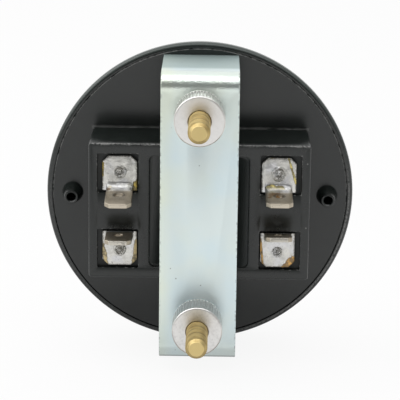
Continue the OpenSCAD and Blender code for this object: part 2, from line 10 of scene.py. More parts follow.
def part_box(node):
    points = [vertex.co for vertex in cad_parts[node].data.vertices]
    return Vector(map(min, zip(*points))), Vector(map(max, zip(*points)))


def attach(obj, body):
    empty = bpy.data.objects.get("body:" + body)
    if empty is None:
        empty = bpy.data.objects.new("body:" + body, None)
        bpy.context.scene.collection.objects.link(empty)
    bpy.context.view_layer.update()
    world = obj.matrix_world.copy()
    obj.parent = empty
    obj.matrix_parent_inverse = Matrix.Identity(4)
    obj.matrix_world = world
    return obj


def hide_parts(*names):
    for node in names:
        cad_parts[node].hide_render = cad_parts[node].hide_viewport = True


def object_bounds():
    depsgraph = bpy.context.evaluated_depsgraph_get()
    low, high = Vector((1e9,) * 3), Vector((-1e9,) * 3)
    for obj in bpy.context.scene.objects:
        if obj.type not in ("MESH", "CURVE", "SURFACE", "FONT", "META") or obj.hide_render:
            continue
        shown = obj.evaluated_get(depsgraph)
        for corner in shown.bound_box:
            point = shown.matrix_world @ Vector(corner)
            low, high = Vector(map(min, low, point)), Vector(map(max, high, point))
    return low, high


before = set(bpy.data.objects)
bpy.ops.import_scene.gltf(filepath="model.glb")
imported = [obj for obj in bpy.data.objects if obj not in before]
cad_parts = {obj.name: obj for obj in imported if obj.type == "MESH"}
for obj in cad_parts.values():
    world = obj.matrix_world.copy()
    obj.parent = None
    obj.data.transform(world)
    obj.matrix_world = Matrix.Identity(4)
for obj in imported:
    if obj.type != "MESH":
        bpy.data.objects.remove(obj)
CAD_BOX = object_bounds()

bl_info = {
    "name": "Hour Meter",
    "version": (1, 0, 0),
    "blender": (4, 5, 0),
    "location": "View3D > Sidebar > Hour Meter",
    "description": "Models the finished surfaces of a panel hour meter round its packed solids",
    "category": "Object",
}

MM = 0.001
LEFT, RIGHT = 1, -1
TOP, BOTTOM = 1, -1
SIDE_NAMES = {LEFT: "left", RIGHT: "right"}
ROW_NAMES = {TOP: "top", BOTTOM: "bottom"}
CORNERS = ((TOP, LEFT), (TOP, RIGHT), (BOTTOM, LEFT), (BOTTOM, RIGHT))

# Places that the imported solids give
BEZEL_LOW, BEZEL_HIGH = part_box("bezel")
COVER_LOW, COVER_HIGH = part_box("rear_cover")
BRACKET_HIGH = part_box("bracket")[1]
NUT_LOW, NUT_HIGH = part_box("nut_top")
STUD_LOW, STUD_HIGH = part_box("stud_top")
LENS_LOW, LENS_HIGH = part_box("lens")
DIAL_LOW, DIAL_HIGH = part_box("dial_plate")
PIN_LOW, PIN_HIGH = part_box("contact_pin_top_left")
STUD_Z = (NUT_LOW.z + NUT_HIGH.z) / 2
PIN_X = (PIN_LOW.x + PIN_HIGH.x) / 2
PIN_Z = (PIN_LOW.z + PIN_HIGH.z) / 2
BLOCK_TOP = COVER_HIGH.y
WELL_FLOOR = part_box("terminal_top_left")[0].y

# How far a cutting tool runs past a face, a small gap, a step between faces, and what counts as one place
OVER = 1 * MM
HAIR = 0.05 * MM
SLIVER = 0.02 * MM
SAME = 0.002 * MM
WELD = 0.001 * MM

# Sides of round pieces
RING_SIDES = 192
RIB_SIDES = 144
BOSS_SIDES = 48
PIN_SIDES = 32


def length(name, description, millimetres):
    """A size that the user can set, given in millimetres and kept in metres."""
    return bpy.props.FloatProperty(
        name=name, description=description, default=millimetres * MM, min=0, precision=5, unit="LENGTH"
    )


def angle(name, description, degrees):
    """An angle that the user can set, given in degrees."""
    return bpy.props.FloatProperty(
        name=name, description=description, default=math.radians(degrees), subtype="ANGLE"
    )


def colour(name, description, value):
    """A base colour that the user can set."""
    return bpy.props.FloatVectorProperty(
        name=name, description=description, default=value, size=3, min=0, max=1, subtype="COLOR"
    )


class CaseSizes(bpy.types.PropertyGroup):
    """Sizes of the bezel and the rear cover."""

    front_round: length("Front round", "Radius on the bezel's front edge", 5)
    rim_round: length("Rim round", "Radius on the bezel's rear edge", 0.8)
    mould_gap: length("Mould gap", "Clearance between moulded pieces", 0.1)
    lip_overlap: length("Lip overlap", "Reach of the lip over the edge of the lens", 2)
    lip_chamfer: length("Lip chamfer", "Chamfer round the opening in the lip", 0.8)
    disc: length("Disc", "Thickness of the cover's disc", 2)
    disc_edge: length("Disc edge", "Chamfer on the disc's rear edge", 0.2)
    block_w: length("Block width", "Width of the terminal block", 40.4)
    block_h: length("Block height", "Height of the terminal block", 25.4)
    block_wall: length("Block wall", "Wall of the terminal block", 1.6)
    block_round: length("Block corner", "Corner radius of the terminal block", 0.5)
    block_edge: length("Block edge", "Rounding round the block's rear face", 0.3)
    root: length("Root fillet", "Fillet where the block and the bosses meet the disc", 0.22)
    soft_edge: length("Soft edge", "Rounding on the edges of the bezel, the lens and the pockets", 0.1)
    recess_w: length("Recess width", "Width of the shallow recess", 18.2)
    recess_h: length("Recess height", "Height of the shallow recess", 21)
    recess_depth: length("Recess depth", "Depth of the shallow recess", 0.4)
    recess_round: length("Recess corner", "Corner radius of the shallow recess", 1)
    boss_inset: length("Boss inset", "Distance from the cover's edge to a hollow boss", 3.8)
    boss_base: length("Boss base", "Radius of a hollow boss at its base", 2)
    boss_tip: length("Boss tip", "Radius of a hollow boss at its tip", 1.3)
    boss_edge: length("Boss edge", "Rounding on the tip of a hollow boss", 0.12)
    boss_h: length("Boss height", "Height of a hollow boss", 4)
    boss_hole: length("Boss hole", "Radius of the hole in a hollow boss", 0.8)
    boss_mouth: length("Boss mouth", "Chamfer at the mouth of a hollow boss", 0.15)
    boss_depth: length("Boss hole depth", "Depth of the hole in a hollow boss", 5)
    rib: length("Rib", "Thickness of the rib that presses on the dial plate", 1.2)
    stud_wall: length("Stud wall", "Wall round the head of a stud", 0.8)
    post: length("Post", "Radius of a post for a screw of the display holder", 2.2)
    post_hole: length("Post hole", "Radius of the hole in a post", 1)
    well_in: length("Pocket gap inside", "Gap beside a foot plate towards the middle", 0.25)
    well_out: length("Pocket gap outside", "Gap beside a foot plate on the outer side", 0.95)
    well_far: length("Pocket gap far", "Gap beyond a foot plate's far edge", 0.4)
    well_near: length("Pocket gap near", "Gap below the bend of a terminal", 0.1)
    well_round: length("Pocket corner", "Corner radius of a pocket", 0.25)


class TerminalSizes(bpy.types.PropertyGroup):
    """Sizes of the blade terminals and their solder."""

    foot_w: length("Foot width", "Width of a foot plate", 6.3)
    foot_reach: length("Foot reach", "Distance from a contact pin to the foot plate's far edge", 3)
    foot_near: length("Foot near", "Distance from a contact pin to the blade's outer face", 3.8)
    foot_corner: length("Foot corner", "Chamfer on the foot plate's far corners", 1.1)
    ear_step: length("Ear step", "Distance from the blade's outer face to the end of an ear", 0.3)
    ear_slot: length("Ear slot", "Slot between an ear and the bend", 0.06)
    sheet: length("Sheet", "Thickness of the terminal metal", 0.8)
    bend: length("Bend", "Inside radius of the bend", 1.3)
    blade_w: length("Blade width", "Width of a blade", 4.8)
    blade_len: length("Blade length", "Length of a blade above its foot plate", 8)
    blade_corner: length("Blade corner", "Chamfer on a blade's tip corners", 0.9)
    hole: length("Hole", "Radius of the hole in a blade", 0.8)
    hole_in: length("Hole place", "Distance from a blade's tip to its hole", 4.2)
    stamped_edge: length("Stamped edge", "Rounding on the stamped edges", 0.12)
    pin: length("Pin", "Radius of a contact pin", 0.5)
    pin_gap: length("Pin gap", "Gap round a contact pin", 0.08)
    solder: length("Solder", "Radius of the solder on a foot plate", 1.4)
    solder_h: length("Solder height", "Height of the solder on a foot plate", 0.4)
    solder_wave: length("Solder wave", "Unevenness of the solder", 0.09)
    leans: bpy.props.FloatVectorProperty(
        name="Leans",
        description="Lean of the upper left, upper right, lower left and lower right blades",
        default=[math.radians(lean) for lean in (10, 5, 0.5, 9)],
        size=4,
        unit="ROTATION",
    )


class BracketSizes(bpy.types.PropertyGroup):
    """Sizes of the bracket, the studs and the thumb nuts."""

    sheet: length("Sheet", "Thickness of the bracket's sheet", 1.2)
    bend: length("Bend", "Outside radius of the bracket's bends", 2.8)
    hole: length("Hole", "Radius of the stud holes", 2.25)
    sheared_edge: length("Sheared edge", "Rounding on the bracket's edges", 0.12)
    stud: length("Stud", "Outside radius of a stud's thread", 1.95)
    stud_tip: length("Stud tip", "Radius of a stud's tip", 1.3)
    stud_taper: length("Stud taper", "Length of the taper at a stud's tip", 0.7)
    stud_seat: length("Stud seat", "Wall in front of which a stud's head sits", 1)
    pitch: length("Pitch", "Pitch of the thread", 0.7)
    thread: length("Thread", "Depth of the thread", 0.36)
    nut_chamfer: length("Nut chamfer", "Chamfer on a nut's edges", 0.13)
    turned_line: length("Turned line", "Depth of the fine line inside the chamfer of a nut's face", 0.05)
    collar: length("Collar", "Plain edge at each end of the knurl", 0.3)
    knurl: length("Knurl", "Depth of the knurl", 0.18)
    bore: length("Bore", "Radius of a nut's bore", 2)
    entry: length("Entry", "Chamfer at the ends of a nut's bore", 0.12)
    teeth: bpy.props.IntProperty(name="Teeth", description="Teeth of the knurl", default=48, min=12, max=90)


class DialSizes(bpy.types.PropertyGroup):
    """Sizes of the lens, the dial, its print and the figures of the display."""

    lens_gap: length("Lens gap", "Gap between the lens and the dial", 0.08)
    sheet_edge: length("Sheet edge", "Rounding on the dial's edges", 0.04)
    view_in: length("View inset", "Distance from the end of the display glass to the dial's opening", 1.8)
    view_h: length("View height", "Half the height of the dial's opening", 4.2)
    view_round: length("View corner", "Corner radius of the dial's opening", 0.8)
    frame_gap: length("Frame gap", "Distance from the opening to the printed frame", 1)
    frame_line: length("Frame line", "Width of the printed frame's line", 0.5)
    frame_round: length("Frame corner", "Inside corner radius of the printed frame", 1.1)
    ticks: length("Ticks", "Outside radius of the ring of ticks", 20.4)
    tick_long: length("Long tick", "Length of a fifth tick", 1.6)
    tick_short: length("Short tick", "Length of the other ticks", 0.9)
    tick_wide: length("Wide tick", "Half the width of a fifth tick", 0.35)
    tick_thin: length("Thin tick", "Half the width of the other ticks", 0.18)
    ink: length("Ink", "Height of the ink on the dial", 0.03)
    figure_h: length("Figure height", "Height of a figure", 5.4)
    figure_w: length("Figure width", "Width of a figure", 2.5)
    figure_gap: length("Figure gap", "Gap between figures", 0.9)
    stroke: length("Stroke", "Thickness of a figure's strokes", 0.42)
    stroke_gap: length("Stroke gap", "Distance from a stroke's end to the edge of the next stroke", 0.08)
    reading: bpy.props.StringProperty(name="Reading", description="Figures on the display", default="024165")


class FinishColours(bpy.types.PropertyGroup):
    """Base colours of the finishes."""

    plastic: colour("Plastic", "Moulded black plastic", (0.0092, 0.0116, 0.0105))
    zinc: colour("Zinc", "Zinc plated sheet steel", (0.826, 0.923, 0.916))
    nickel: colour("Nickel", "Plated thumb nuts", (0.83, 0.82, 0.80))
    brass: colour("Brass", "Turned brass studs", (0.66, 0.52, 0.24))
    tin: colour("Tin", "Tinned terminals", (0.70, 0.69, 0.65))


class StageSettings(bpy.types.PropertyGroup):
    """Camera and floor."""

    distance: length("Distance", "Distance from the origin to the camera", 350)
    elevation: angle("Elevation", "Height angle of the camera", 14.7)
    yaw: angle("Yaw", "Turn of the camera round the meter", 0.45)
    roll: angle("Roll", "Roll of the camera", 0.73)
    aim_right: length("Aim right", "Aim to the right of the middle, in the picture", 0.06)
    aim_down: length("Aim down", "Aim below the middle", 1.25)
    lens: bpy.props.FloatProperty(
        name="Lens", description="Focal length on a 36 mm sensor", default=166, unit="CAMERA"
    )
    floor: colour("Floor", "Floor and backdrop", (0.86, 0.86, 0.86))


def settings(name):
    """One of the property groups on the scene."""
    return getattr(bpy.context.scene, "hour_meter_" + name)


def corner_name(row, side):
    """Name of a terminal's place, such as top_left."""
    return "%s_%s" % (ROW_NAMES[row], SIDE_NAMES[side])


def pocket():
    """Middle and half sizes, in X and Z, of the upper left terminal's pocket."""
    case, t = settings("case"), settings("terminals")
    middle = (
        PIN_X + (case.well_out - case.well_in) / 2,
        PIN_Z + (t.foot_reach + case.well_far - t.foot_near - case.well_near) / 2,
    )
    half = (
        (t.foot_w + case.well_in + case.well_out) / 2,
        (t.foot_reach + case.well_far + t.foot_near + case.well_near) / 2,
    )
    return middle, half


# Modelling steps

def clear_selection():
    bpy.ops.object.select_all(action="DESELECT")


def use(piece):
    clear_selection()
    piece.select_set(True)
    bpy.context.view_layer.objects.active = piece


def take(name):
    """Names the object that was just added and puts its place into its mesh."""
    piece = bpy.context.object
    piece.name = name
    piece.data.name = name
    bpy.ops.object.transform_apply(location=True, rotation=True, scale=True)
    return piece


def rod(name, radius, y0, y1, sides, tip=None, at=(0, 0)):
    """Round bar or cone along Y, from radius at y0 to tip at y1."""
    clear_selection()
    bpy.ops.mesh.primitive_cone_add(
        vertices=sides,
        radius1=radius,
        radius2=radius if tip is None else tip,
        depth=y1 - y0,
        location=(at[0], (y0 + y1) / 2, at[1]),
        rotation=(-math.pi / 2, 0, 0),
    )
    return take(name)


def hexagon(name, radius, y0, y1, at):
    """Hexagonal bar along Y with corners towards the left and right."""
    bar = rod(name, radius, y0, y1, 6, at=at)
    open_mesh(bar, select="SELECT")
    bpy.ops.transform.rotate(value=math.radians(30), orient_axis="Y", center_override=(at[0], y0, at[1]))
    close_mesh()
    return bar


def block(name, low, high):
    """Block between two corners."""
    clear_selection()
    low, high = Vector(low), Vector(high)
    bpy.ops.mesh.primitive_cube_add(size=1, location=(low + high) / 2, scale=high - low)
    return take(name)


def plate(name, half, y0, y1, corner, segments, at=(0, 0)):
    """Block across Y with half sizes in X and Z, and the edges along Y rounded."""
    low = (at[0] - half[0], y0, at[1] - half[1])
    high = (at[0] + half[0], y1, at[1] + half[1])
    piece = block(name, low, high)
    round_edges(piece, along_y, corner, segments)
    return piece


def hoop(name, radius, y, at, sides):
    """Open ring round an axis along Y, the start of a turned piece."""
    clear_selection()
    bpy.ops.mesh.primitive_circle_add(
        vertices=sides, radius=radius, location=(at[0], y, at[1]), rotation=(-math.pi / 2, 0, 0)
    )
    return take(name)


def shape(piece, kind, **values):
    """Adds a modifier and applies it."""
    use(piece)
    modifier = piece.modifiers.new(kind.title(), kind)
    for key, value in values.items():
        setattr(modifier, key, value)
    bpy.ops.object.modifier_apply(modifier=modifier.name)


def combine(piece, tool, operation):
    """Cuts, joins or trims a piece by a tool, which is used up."""
    shape(piece, "BOOLEAN", operation=operation, object=tool, solver="EXACT")
    bpy.data.objects.remove(tool)


def cut(piece, *tools):
    for tool in tools:
        combine(piece, tool, "DIFFERENCE")


def fuse(piece, *others):
    for other in others:
        combine(piece, other, "UNION")


def gather(pieces):
    """Joins pieces that lie apart into the first of them."""
    clear_selection()
    for piece in pieces:
        piece.select_set(True)
    bpy.context.view_layer.objects.active = pieces[0]
    bpy.ops.object.join()
    return pieces[0]


def open_mesh(piece, kind="VERT", select="DESELECT"):
    """Goes into edit mode with nothing or everything selected."""
    use(piece)
    bpy.ops.object.mode_set(mode="EDIT")
    bpy.ops.mesh.select_mode(type=kind)
    bpy.ops.mesh.select_all(action=select)


def close_mesh():
    bpy.ops.object.mode_set(mode="OBJECT")


def pick(piece, kind, test):
    """Selects the vertices, edges or faces that pass a test."""
    mesh = bmesh.from_edit_mesh(piece.data)
    for part in getattr(mesh, kind):
        part.select_set(False)
    for part in getattr(mesh, kind):
        if test(part):
            part.select_set(True)
    mesh.select_flush_mode()
    bmesh.update_edit_mesh(piece.data)


def near(a, b):
    return abs(a - b) < SAME


def at_y(y):
    """Edges that lie in a plane across Y."""
    return lambda edge: all(near(v.co.y, y) for v in edge.verts)


def along_y(edge):
    """Edges that run along Y."""
    a, b = (v.co for v in edge.verts)
    return near(a.x, b.x) and near(a.z, b.z)


def round_edges(piece, test, radius, segments):
    """Rounds the edges that pass a test; one segment gives a chamfer."""
    open_mesh(piece, "EDGE")
    pick(piece, "edges", test)
    bpy.ops.mesh.bevel(offset=radius, segments=segments, profile=0.5, affect="EDGES")
    close_mesh()


def soften(piece, width, segments=2, sharp=40):
    """Rounds every edge that is sharper than an angle in degrees."""
    shape(
        piece, "BEVEL", width=width, segments=segments, limit_method="ANGLE", angle_limit=math.radians(sharp)
    )


def true_up(piece):
    """Merges doubles and turns the faces outwards."""
    open_mesh(piece, select="SELECT")
    bpy.ops.mesh.remove_doubles(threshold=WELD)
    bpy.ops.mesh.normals_make_consistent(inside=False)
    close_mesh()


def smooth(piece, sharp=32):
    """Shades smooth across edges that are flatter than an angle in degrees."""
    use(piece)
    bpy.ops.object.shade_smooth_by_angle(angle=math.radians(sharp))


def push(move):
    """Extrudes the selected faces."""
    bpy.ops.mesh.extrude_region_move(TRANSFORM_OT_translate={"value": move})


def turn_rings(piece, rings, at):
    """Extends an open ring through (radius, y) rings round an axis along Y, and stays in edit mode."""
    open_mesh(piece, "EDGE", "SELECT")
    for (r0, y0), (r1, y1) in zip(rings, rings[1:]):
        bpy.ops.mesh.extrude_edges_move(TRANSFORM_OT_translate={"value": (0, y1 - y0, 0)})
        bpy.ops.transform.resize(value=(r1 / r0, 1, r1 / r0), center_override=(at[0], y1, at[1]))


def with_lower(piece, stem):
    """An upper piece and its copy on the lower stud, each with the name of its row."""
    use(piece)
    bpy.ops.object.duplicate()
    bpy.context.object.location.z = -2 * STUD_Z
    return (("top", piece), ("bottom", take(stem + "_bottom")))


def place(piece, body, material, node=None):
    """Gives a finished piece its body and its finish, and hides the solid that it stands for."""
    piece.data.materials.clear()
    piece.data.materials.append(material)
    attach(piece, body)
    if node:
        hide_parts(node)


# Finishes

class Wire:
    """A socket in a node tree. Sums and products of wires add Math nodes."""

    def __init__(self, nodes, socket):
        self.nodes = nodes
        self.socket = socket

    def also(self, out):
        """Another output of the same node."""
        return Wire(self.nodes, self.socket.node.outputs[out])

    def maths(self, operation, *values):
        return self.nodes.node("ShaderNodeMath", {"operation": operation}, dict(enumerate(values)))

    def __add__(self, other):
        return self.maths("ADD", self, other)

    __radd__ = __add__

    def __sub__(self, other):
        return self.maths("SUBTRACT", self, other)

    def __rsub__(self, other):
        return self.maths("SUBTRACT", other, self)

    def __mul__(self, other):
        return self.maths("MULTIPLY", self, other)

    __rmul__ = __mul__

    def __truediv__(self, other):
        return self.maths("DIVIDE", self, other)

    def __pow__(self, other):
        return self.maths("POWER", self, other)

    def __abs__(self):
        return self.maths("ABSOLUTE", self)

    def sine(self):
        return self.maths("SINE", self)

    def rise(self, low, high):
        """0 below low, 1 above high and smooth between; low may be the larger."""
        values = {"Value": self, "From Min": low, "From Max": high, "To Min": 0.0, "To Max": 1.0}
        return self.nodes.node(
            "ShaderNodeMapRange", {"interpolation_type": "SMOOTHSTEP", "clamp": True}, values
        )


def most(first, *others):
    """The largest of some wires or numbers, point by point; the first is a wire."""
    for other in others:
        first = first.maths("MAXIMUM", first, other)
    return first


def from_axis(a, b):
    """Distance from an axis, from the distances in two directions across it."""
    return (a ** 2 + b ** 2) ** 0.5


def tone(base, shares):
    """A colour with its channels multiplied by one share or by three."""
    shares = shares if isinstance(shares, tuple) else (shares,) * 3
    return tuple(min(1.0, channel * share) for channel, share in zip(base, shares))


class Nodes:
    """The nodes of a material or of the world."""

    def __init__(self, tree):
        self.tree = tree

    def node(self, kind, options=None, values=None, out=0):
        """Any node: its options are set first, then its sockets are given values or links."""
        node = self.tree.nodes.new(kind)
        for key, value in (options or {}).items():
            setattr(node, key, value)
        for key, value in (values or {}).items():
            self.feed(node.inputs[key], value)
        return Wire(self, node.outputs[out])

    def feed(self, socket, value):
        if isinstance(value, Wire):
            self.tree.links.new(value.socket, socket)
        elif socket.type == "RGBA":
            socket.default_value = (*value, 1.0)
        else:
            socket.default_value = value

    def split(self, vector):
        """X, Y and Z of a vector."""
        x = self.node("ShaderNodeSeparateXYZ", values={"Vector": vector})
        return x, x.also("Y"), x.also("Z")


class Finish(Nodes):
    """A material in the making: its nodes, its shader and the place of the point that is shaded."""

    def __init__(self, name, **constants):
        self.material = bpy.data.materials.new(name)
        self.material.use_nodes = True
        super().__init__(self.material.node_tree)
        self.shader = self.tree.nodes["Principled BSDF"]
        self.set(**constants)
        self.place = self.node("ShaderNodeTexCoord", out="Object")
        self.axes = self.split(self.place)

    def set(self, **values):
        """Gives the shader's sockets numbers or wires, by names such as base_color."""
        for key, value in values.items():
            self.feed(self.shader.inputs[key.replace("_", " ").title().replace("Ior", "IOR")], value)

    def noise(self, size, detail=2.0, rough=0.5, spot=None, seed=0.0):
        """Noise from 0 to 1 whose features are about size across."""
        values = {"Scale": 1 / size, "Detail": detail, "Roughness": rough, "W": seed}
        values["Vector"] = spot or self.place
        return self.node("ShaderNodeTexNoise", {"noise_dimensions": "4D"}, values)

    def specks(self, size, share, seed=0.0):
        """1 on a share of small round specks."""
        values = {"Vector": self.place, "Scale": 1 / size, "W": seed}
        cells = self.node("ShaderNodeTexVoronoi", {"voronoi_dimensions": "4D"}, values, out="Distance")
        chance = self.node("ShaderNodeSeparateColor", values={"Color": cells.also("Color")})
        return cells.rise(0.32, 0.2) * chance.rise(1 - share, 1 - share + 0.01)

    def distance(self, spot):
        """Distance from a point."""
        values = {0: self.place, 1: tuple(spot)}
        return self.node("ShaderNodeVectorMath", {"operation": "DISTANCE"}, values, out="Value")

    def along(self, **axis):
        """A vector with one axis, for noise that changes along it alone."""
        return self.node("ShaderNodeCombineXYZ", values=axis)

    def mix(self, factor, a, b):
        """Colour a where factor is 0 and b where it is 1."""
        return self.node("ShaderNodeMix", {"data_type": "RGBA"}, {0: factor, 6: a, 7: b}, out=2)

    def bump(self, height, strength, depth):
        values = {"Height": height, "Strength": strength, "Distance": depth}
        self.set(normal=self.node("ShaderNodeBump", values=values))


def moulded_black():
    """Semi-gloss black plastic with dust, chips and nicks, a painted highlight on the bezel's upper rim, and
    painted highlights mixed with wear along the disc's edge, the bezel round it and the block's upper edges;
    made once.
    """
    name = "moulded_black"
    if name in bpy.data.materials:
        return bpy.data.materials[name]
    base = tuple(settings("colours").plastic)
    case = settings("case")
    finish = Finish(name, specular_ior_level=0.6)
    x, y, z = finish.axes
    out = from_axis(x, z)
    grain = finish.noise(2.2 * MM, detail=3)
    fine = finish.noise(0.25 * MM)
    dust = finish.specks(0.8 * MM, 0.005)
    # Upper edges of the block, at its face and at its foot: wear mixed with painted highlights, pale where
    # light catches them
    wander = finish.noise(1.5 * MM, detail=3, seed=5.0) * (0.5 * MM)
    upper = abs(z - case.block_h / 2)
    across = abs(x).rise(case.block_w / 2 + 0.35 * MM, case.block_w / 2)
    edge_wear_and_highlight = (upper + abs(y - BLOCK_TOP) + wander).rise(0.66 * MM, 0.38 * MM)
    edge_wear_and_highlight = edge_wear_and_highlight * finish.noise(0.28 * MM, detail=4).rise(0.38, 0.56)
    root = across * (upper + abs(y) + wander).rise(0.7 * MM, 0.45 * MM)
    root = root * finish.noise(4 * MM).rise(0.3, 0.5)
    # Edge of the disc, worn and with a painted highlight that is stronger towards the top, and a pale line on
    # the bezel round it, a painted highlight stronger low down towards negative X
    seam = abs(out - (COVER_HIGH.x - 0.05 * MM)).rise(0.22 * MM, 0.1 * MM)
    seam = seam * finish.noise(1.2 * MM, detail=3).rise(0.35, 0.6)
    seam = seam * z.rise(-14 * MM, 8 * MM) * y.rise(-1.2 * MM, -0.5 * MM)
    bezel_line_highlight = abs(out - (COVER_HIGH.x + 0.4 * MM)).rise(0.24 * MM, 0.08 * MM) * y.rise(-0.8 * MM, -0.2 * MM)
    bezel_line_highlight = bezel_line_highlight * z.rise(10 * MM, -2 * MM) * finish.noise(0.5 * MM, detail=3, seed=3.0).rise(0.3, 0.6)
    bezel_line_highlight = bezel_line_highlight * (0.10 + 0.35 * x.rise(-4 * MM, -14 * MM))
    # Chips on the block's face, and nicks on the lips of the pockets
    face = y.rise(BLOCK_TOP - 0.5 * MM, BLOCK_TOP - 0.3 * MM)
    chips = finish.specks(0.7 * MM, 0.02, seed=9.0) * face * finish.noise(5 * MM, seed=2.0).rise(0.5, 0.6)
    middle, half = pocket()
    lip = most(abs(abs(x) - middle[0]) - half[0], abs(abs(z) - middle[1]) - half[1])
    nicks = abs(lip).rise(0.17 * MM, 0.06 * MM) * face
    nicks = nicks * finish.noise(0.6 * MM, detail=3, seed=1.0).rise(0.55, 0.62)
    # Dust, chips and nicks, together with the painted highlights of the edges, the disc's edge and the bezel
    # line
    dust_wear_and_highlights = 0.35 * nicks + 0.6 * dust + 0.7 * edge_wear_and_highlight + 0.2 * root + 0.4 * seam + 0.5 * chips + bezel_line_highlight
    # Painted highlight on the bezel's outer rim, growing towards the top, where the overhead light falls
    rim = out.rise(BEZEL_HIGH.x - 0.7 * MM, BEZEL_HIGH.x - 0.3 * MM) * z.rise(0, 25 * MM)
    well = y.rise(BLOCK_TOP - 0.55 * MM, BLOCK_TOP - 0.8 * MM)
    well = well * y.rise(WELL_FLOOR - 0.2 * MM, WELL_FLOOR - 0.05 * MM)
    shaded = finish.mix(grain.rise(0.3, 0.75), base, tone(base, 1.5))
    rim_highlit = finish.mix(rim, shaded, tone(base, 6))
    finish.set(
        base_color=finish.mix(dust_wear_and_highlights, rim_highlit, (0.36, 0.36, 0.35)),
        roughness=0.18 + 0.08 * grain + 0.25 * dust_wear_and_highlights + 0.3 * well + 0.06 * face,
    )
    finish.bump(fine + 0.6 * grain, 0.12, 0.05 * MM)
    return finish.material


def zinc_plate():
    """Zinc plated steel, cool and blotched, with painted warm light at the top and left, and grainy on the
    bends.

    The legs carry painted shade, the strap has dark ticks on its edges, the lower bend carries painted shade,
    and small specks lie all over.
    """
    base = tuple(settings("colours").zinc)
    finish = Finish("zinc_plate")
    x, y, z = finish.axes
    blotch = finish.noise(7 * MM)
    other = finish.noise(10 * MM, seed=4.0)
    grain = finish.noise(0.16 * MM)
    coarse = finish.noise(0.34 * MM, detail=3)
    strap = y.rise(15 * MM, 17 * MM)
    leg = y.rise(15 * MM, 12 * MM)
    bend = abs(z).rise(STUD_Z + 4 * MM, STUD_Z + 5 * MM) * y.rise(14 * MM, 16 * MM)
    # Painted warm light on the top of the strap and down its left side
    upper = z.rise(11 * MM, 21 * MM) * strap
    left = x.rise(4 * MM, BRACKET_HIGH.x)
    dark = finish.specks(0.5 * MM, 0.02, seed=2.0)
    ticks = abs(x).rise(BRACKET_HIGH.x - 0.3 * MM, BRACKET_HIGH.x - 0.08 * MM) * strap
    ticks = ticks * finish.noise(0.6 * MM, detail=4, seed=6.0).rise(0.5, 0.62)
    # Painted shade along the lower bend of the strap
    under = z.rise(0.9 * MM - BRACKET_HIGH.z, 0.5 * MM - BRACKET_HIGH.z) * strap
    cool = finish.mix(blotch.rise(0.35, 0.7), base, tone(base, (0.95, 0.99, 1.03)))
    warm_tone_and_light = 0.5 * other.rise(0.45, 0.75) + 0.4 * upper + 0.6 * left
    warm_tone_and_lit = finish.mix(warm_tone_and_light, cool, tone(base, (1.05, 1.02, 0.90)))
    # Painted shade on the legs, which are also made less metallic
    with_painted_leg_shade = finish.mix(0.8 * leg, warm_tone_and_lit, tone(base, (0.39, 0.46, 0.45)))
    finish.set(
        base_color=finish.mix(0.7 * dark + 0.6 * under + 0.5 * ticks, with_painted_leg_shade, (0.2, 0.21, 0.21)),
        roughness=0.37 + 0.10 * grain - 0.12 * bend,
        metallic=1.0 - 0.4 * leg,
    )
    finish.bump(0.4 * grain + 4.0 * (coarse * bend), 0.6, 0.03 * MM)
    return finish.material


def nickel_plate():
    """Plated nuts, turned on their faces and faintly mottled, the lower one more so."""
    base = tuple(settings("colours").nickel)
    finish = Finish("nickel_plate", metallic=1.0)
    x, _, z = finish.axes
    out = from_axis(x, abs(z) - STUD_Z)
    rings = finish.noise(0.15 * MM, detail=1, spot=finish.along(X=out))
    lower = z.rise(1 * MM, -1 * MM)
    mottle = finish.noise(0.45 * MM, detail=4)
    finish.set(
        base_color=finish.mix(mottle.rise(0.4, 0.75) * (0.25 + 0.5 * lower), base, tone(base, 0.8)),
        roughness=0.26 + 0.12 * mottle,
    )
    finish.bump(0.3 * rings + mottle * (0.15 + 0.5 * lower), 0.10, 0.03 * MM)
    return finish.material


def turned_brass():
    """Brass, dulled unevenly on the thread and bright on the cut ends."""
    base = tuple(settings("colours").brass)
    finish = Finish("turned_brass", metallic=1.0)
    y = finish.axes[1]
    stain = finish.noise(1.6 * MM, detail=3)
    fine = finish.noise(0.15 * MM)
    bands = finish.noise(0.9 * MM, detail=1, spot=finish.along(Y=y))
    end = y.rise(STUD_HIGH.y - 0.12 * MM, STUD_HIGH.y - 0.04 * MM)
    thread = finish.mix(stain.rise(0.35, 0.7), tone(base, 0.92), tone(base, (0.74, 0.68, 0.60)))
    banded = finish.mix(bands.rise(0.5, 0.6) * 0.6, thread, tone(base, 0.45))
    finish.set(base_color=finish.mix(end, banded, tone(base, 1.12)), roughness=0.36 + 0.14 * stain)
    finish.bump(fine + stain, 0.15, 0.03 * MM)
    return finish.material


def flux_marks(finish, lines, ragged, seed):
    """Masks of the flux left along ragged lines and in a few specks, and of the dark border round it."""
    x, _, z = finish.axes
    flux = finish.specks(2.2 * MM, 0.06, seed=seed)
    border = flux * 0.5
    for x0, z0, x1, z1, width in lines:
        run = Vector((x1 - x0, z1 - z0))
        unit = run.normalized()
        off_x, off_z = x - x0, z - z0
        along = off_x * unit[0] + off_z * unit[1]
        past = most(along - run.length, along * -1.0, 0.0)
        reach = past + abs(off_x * unit[1] - off_z * unit[0]) + (ragged - 0.5) * (2.2 * width)
        flux = most(flux, reach.rise(1.15 * width, 0.9 * width))
        border = most(border, abs(reach - 1.05 * width).rise(0.28 * width, 0.12 * width))
    return flux, border


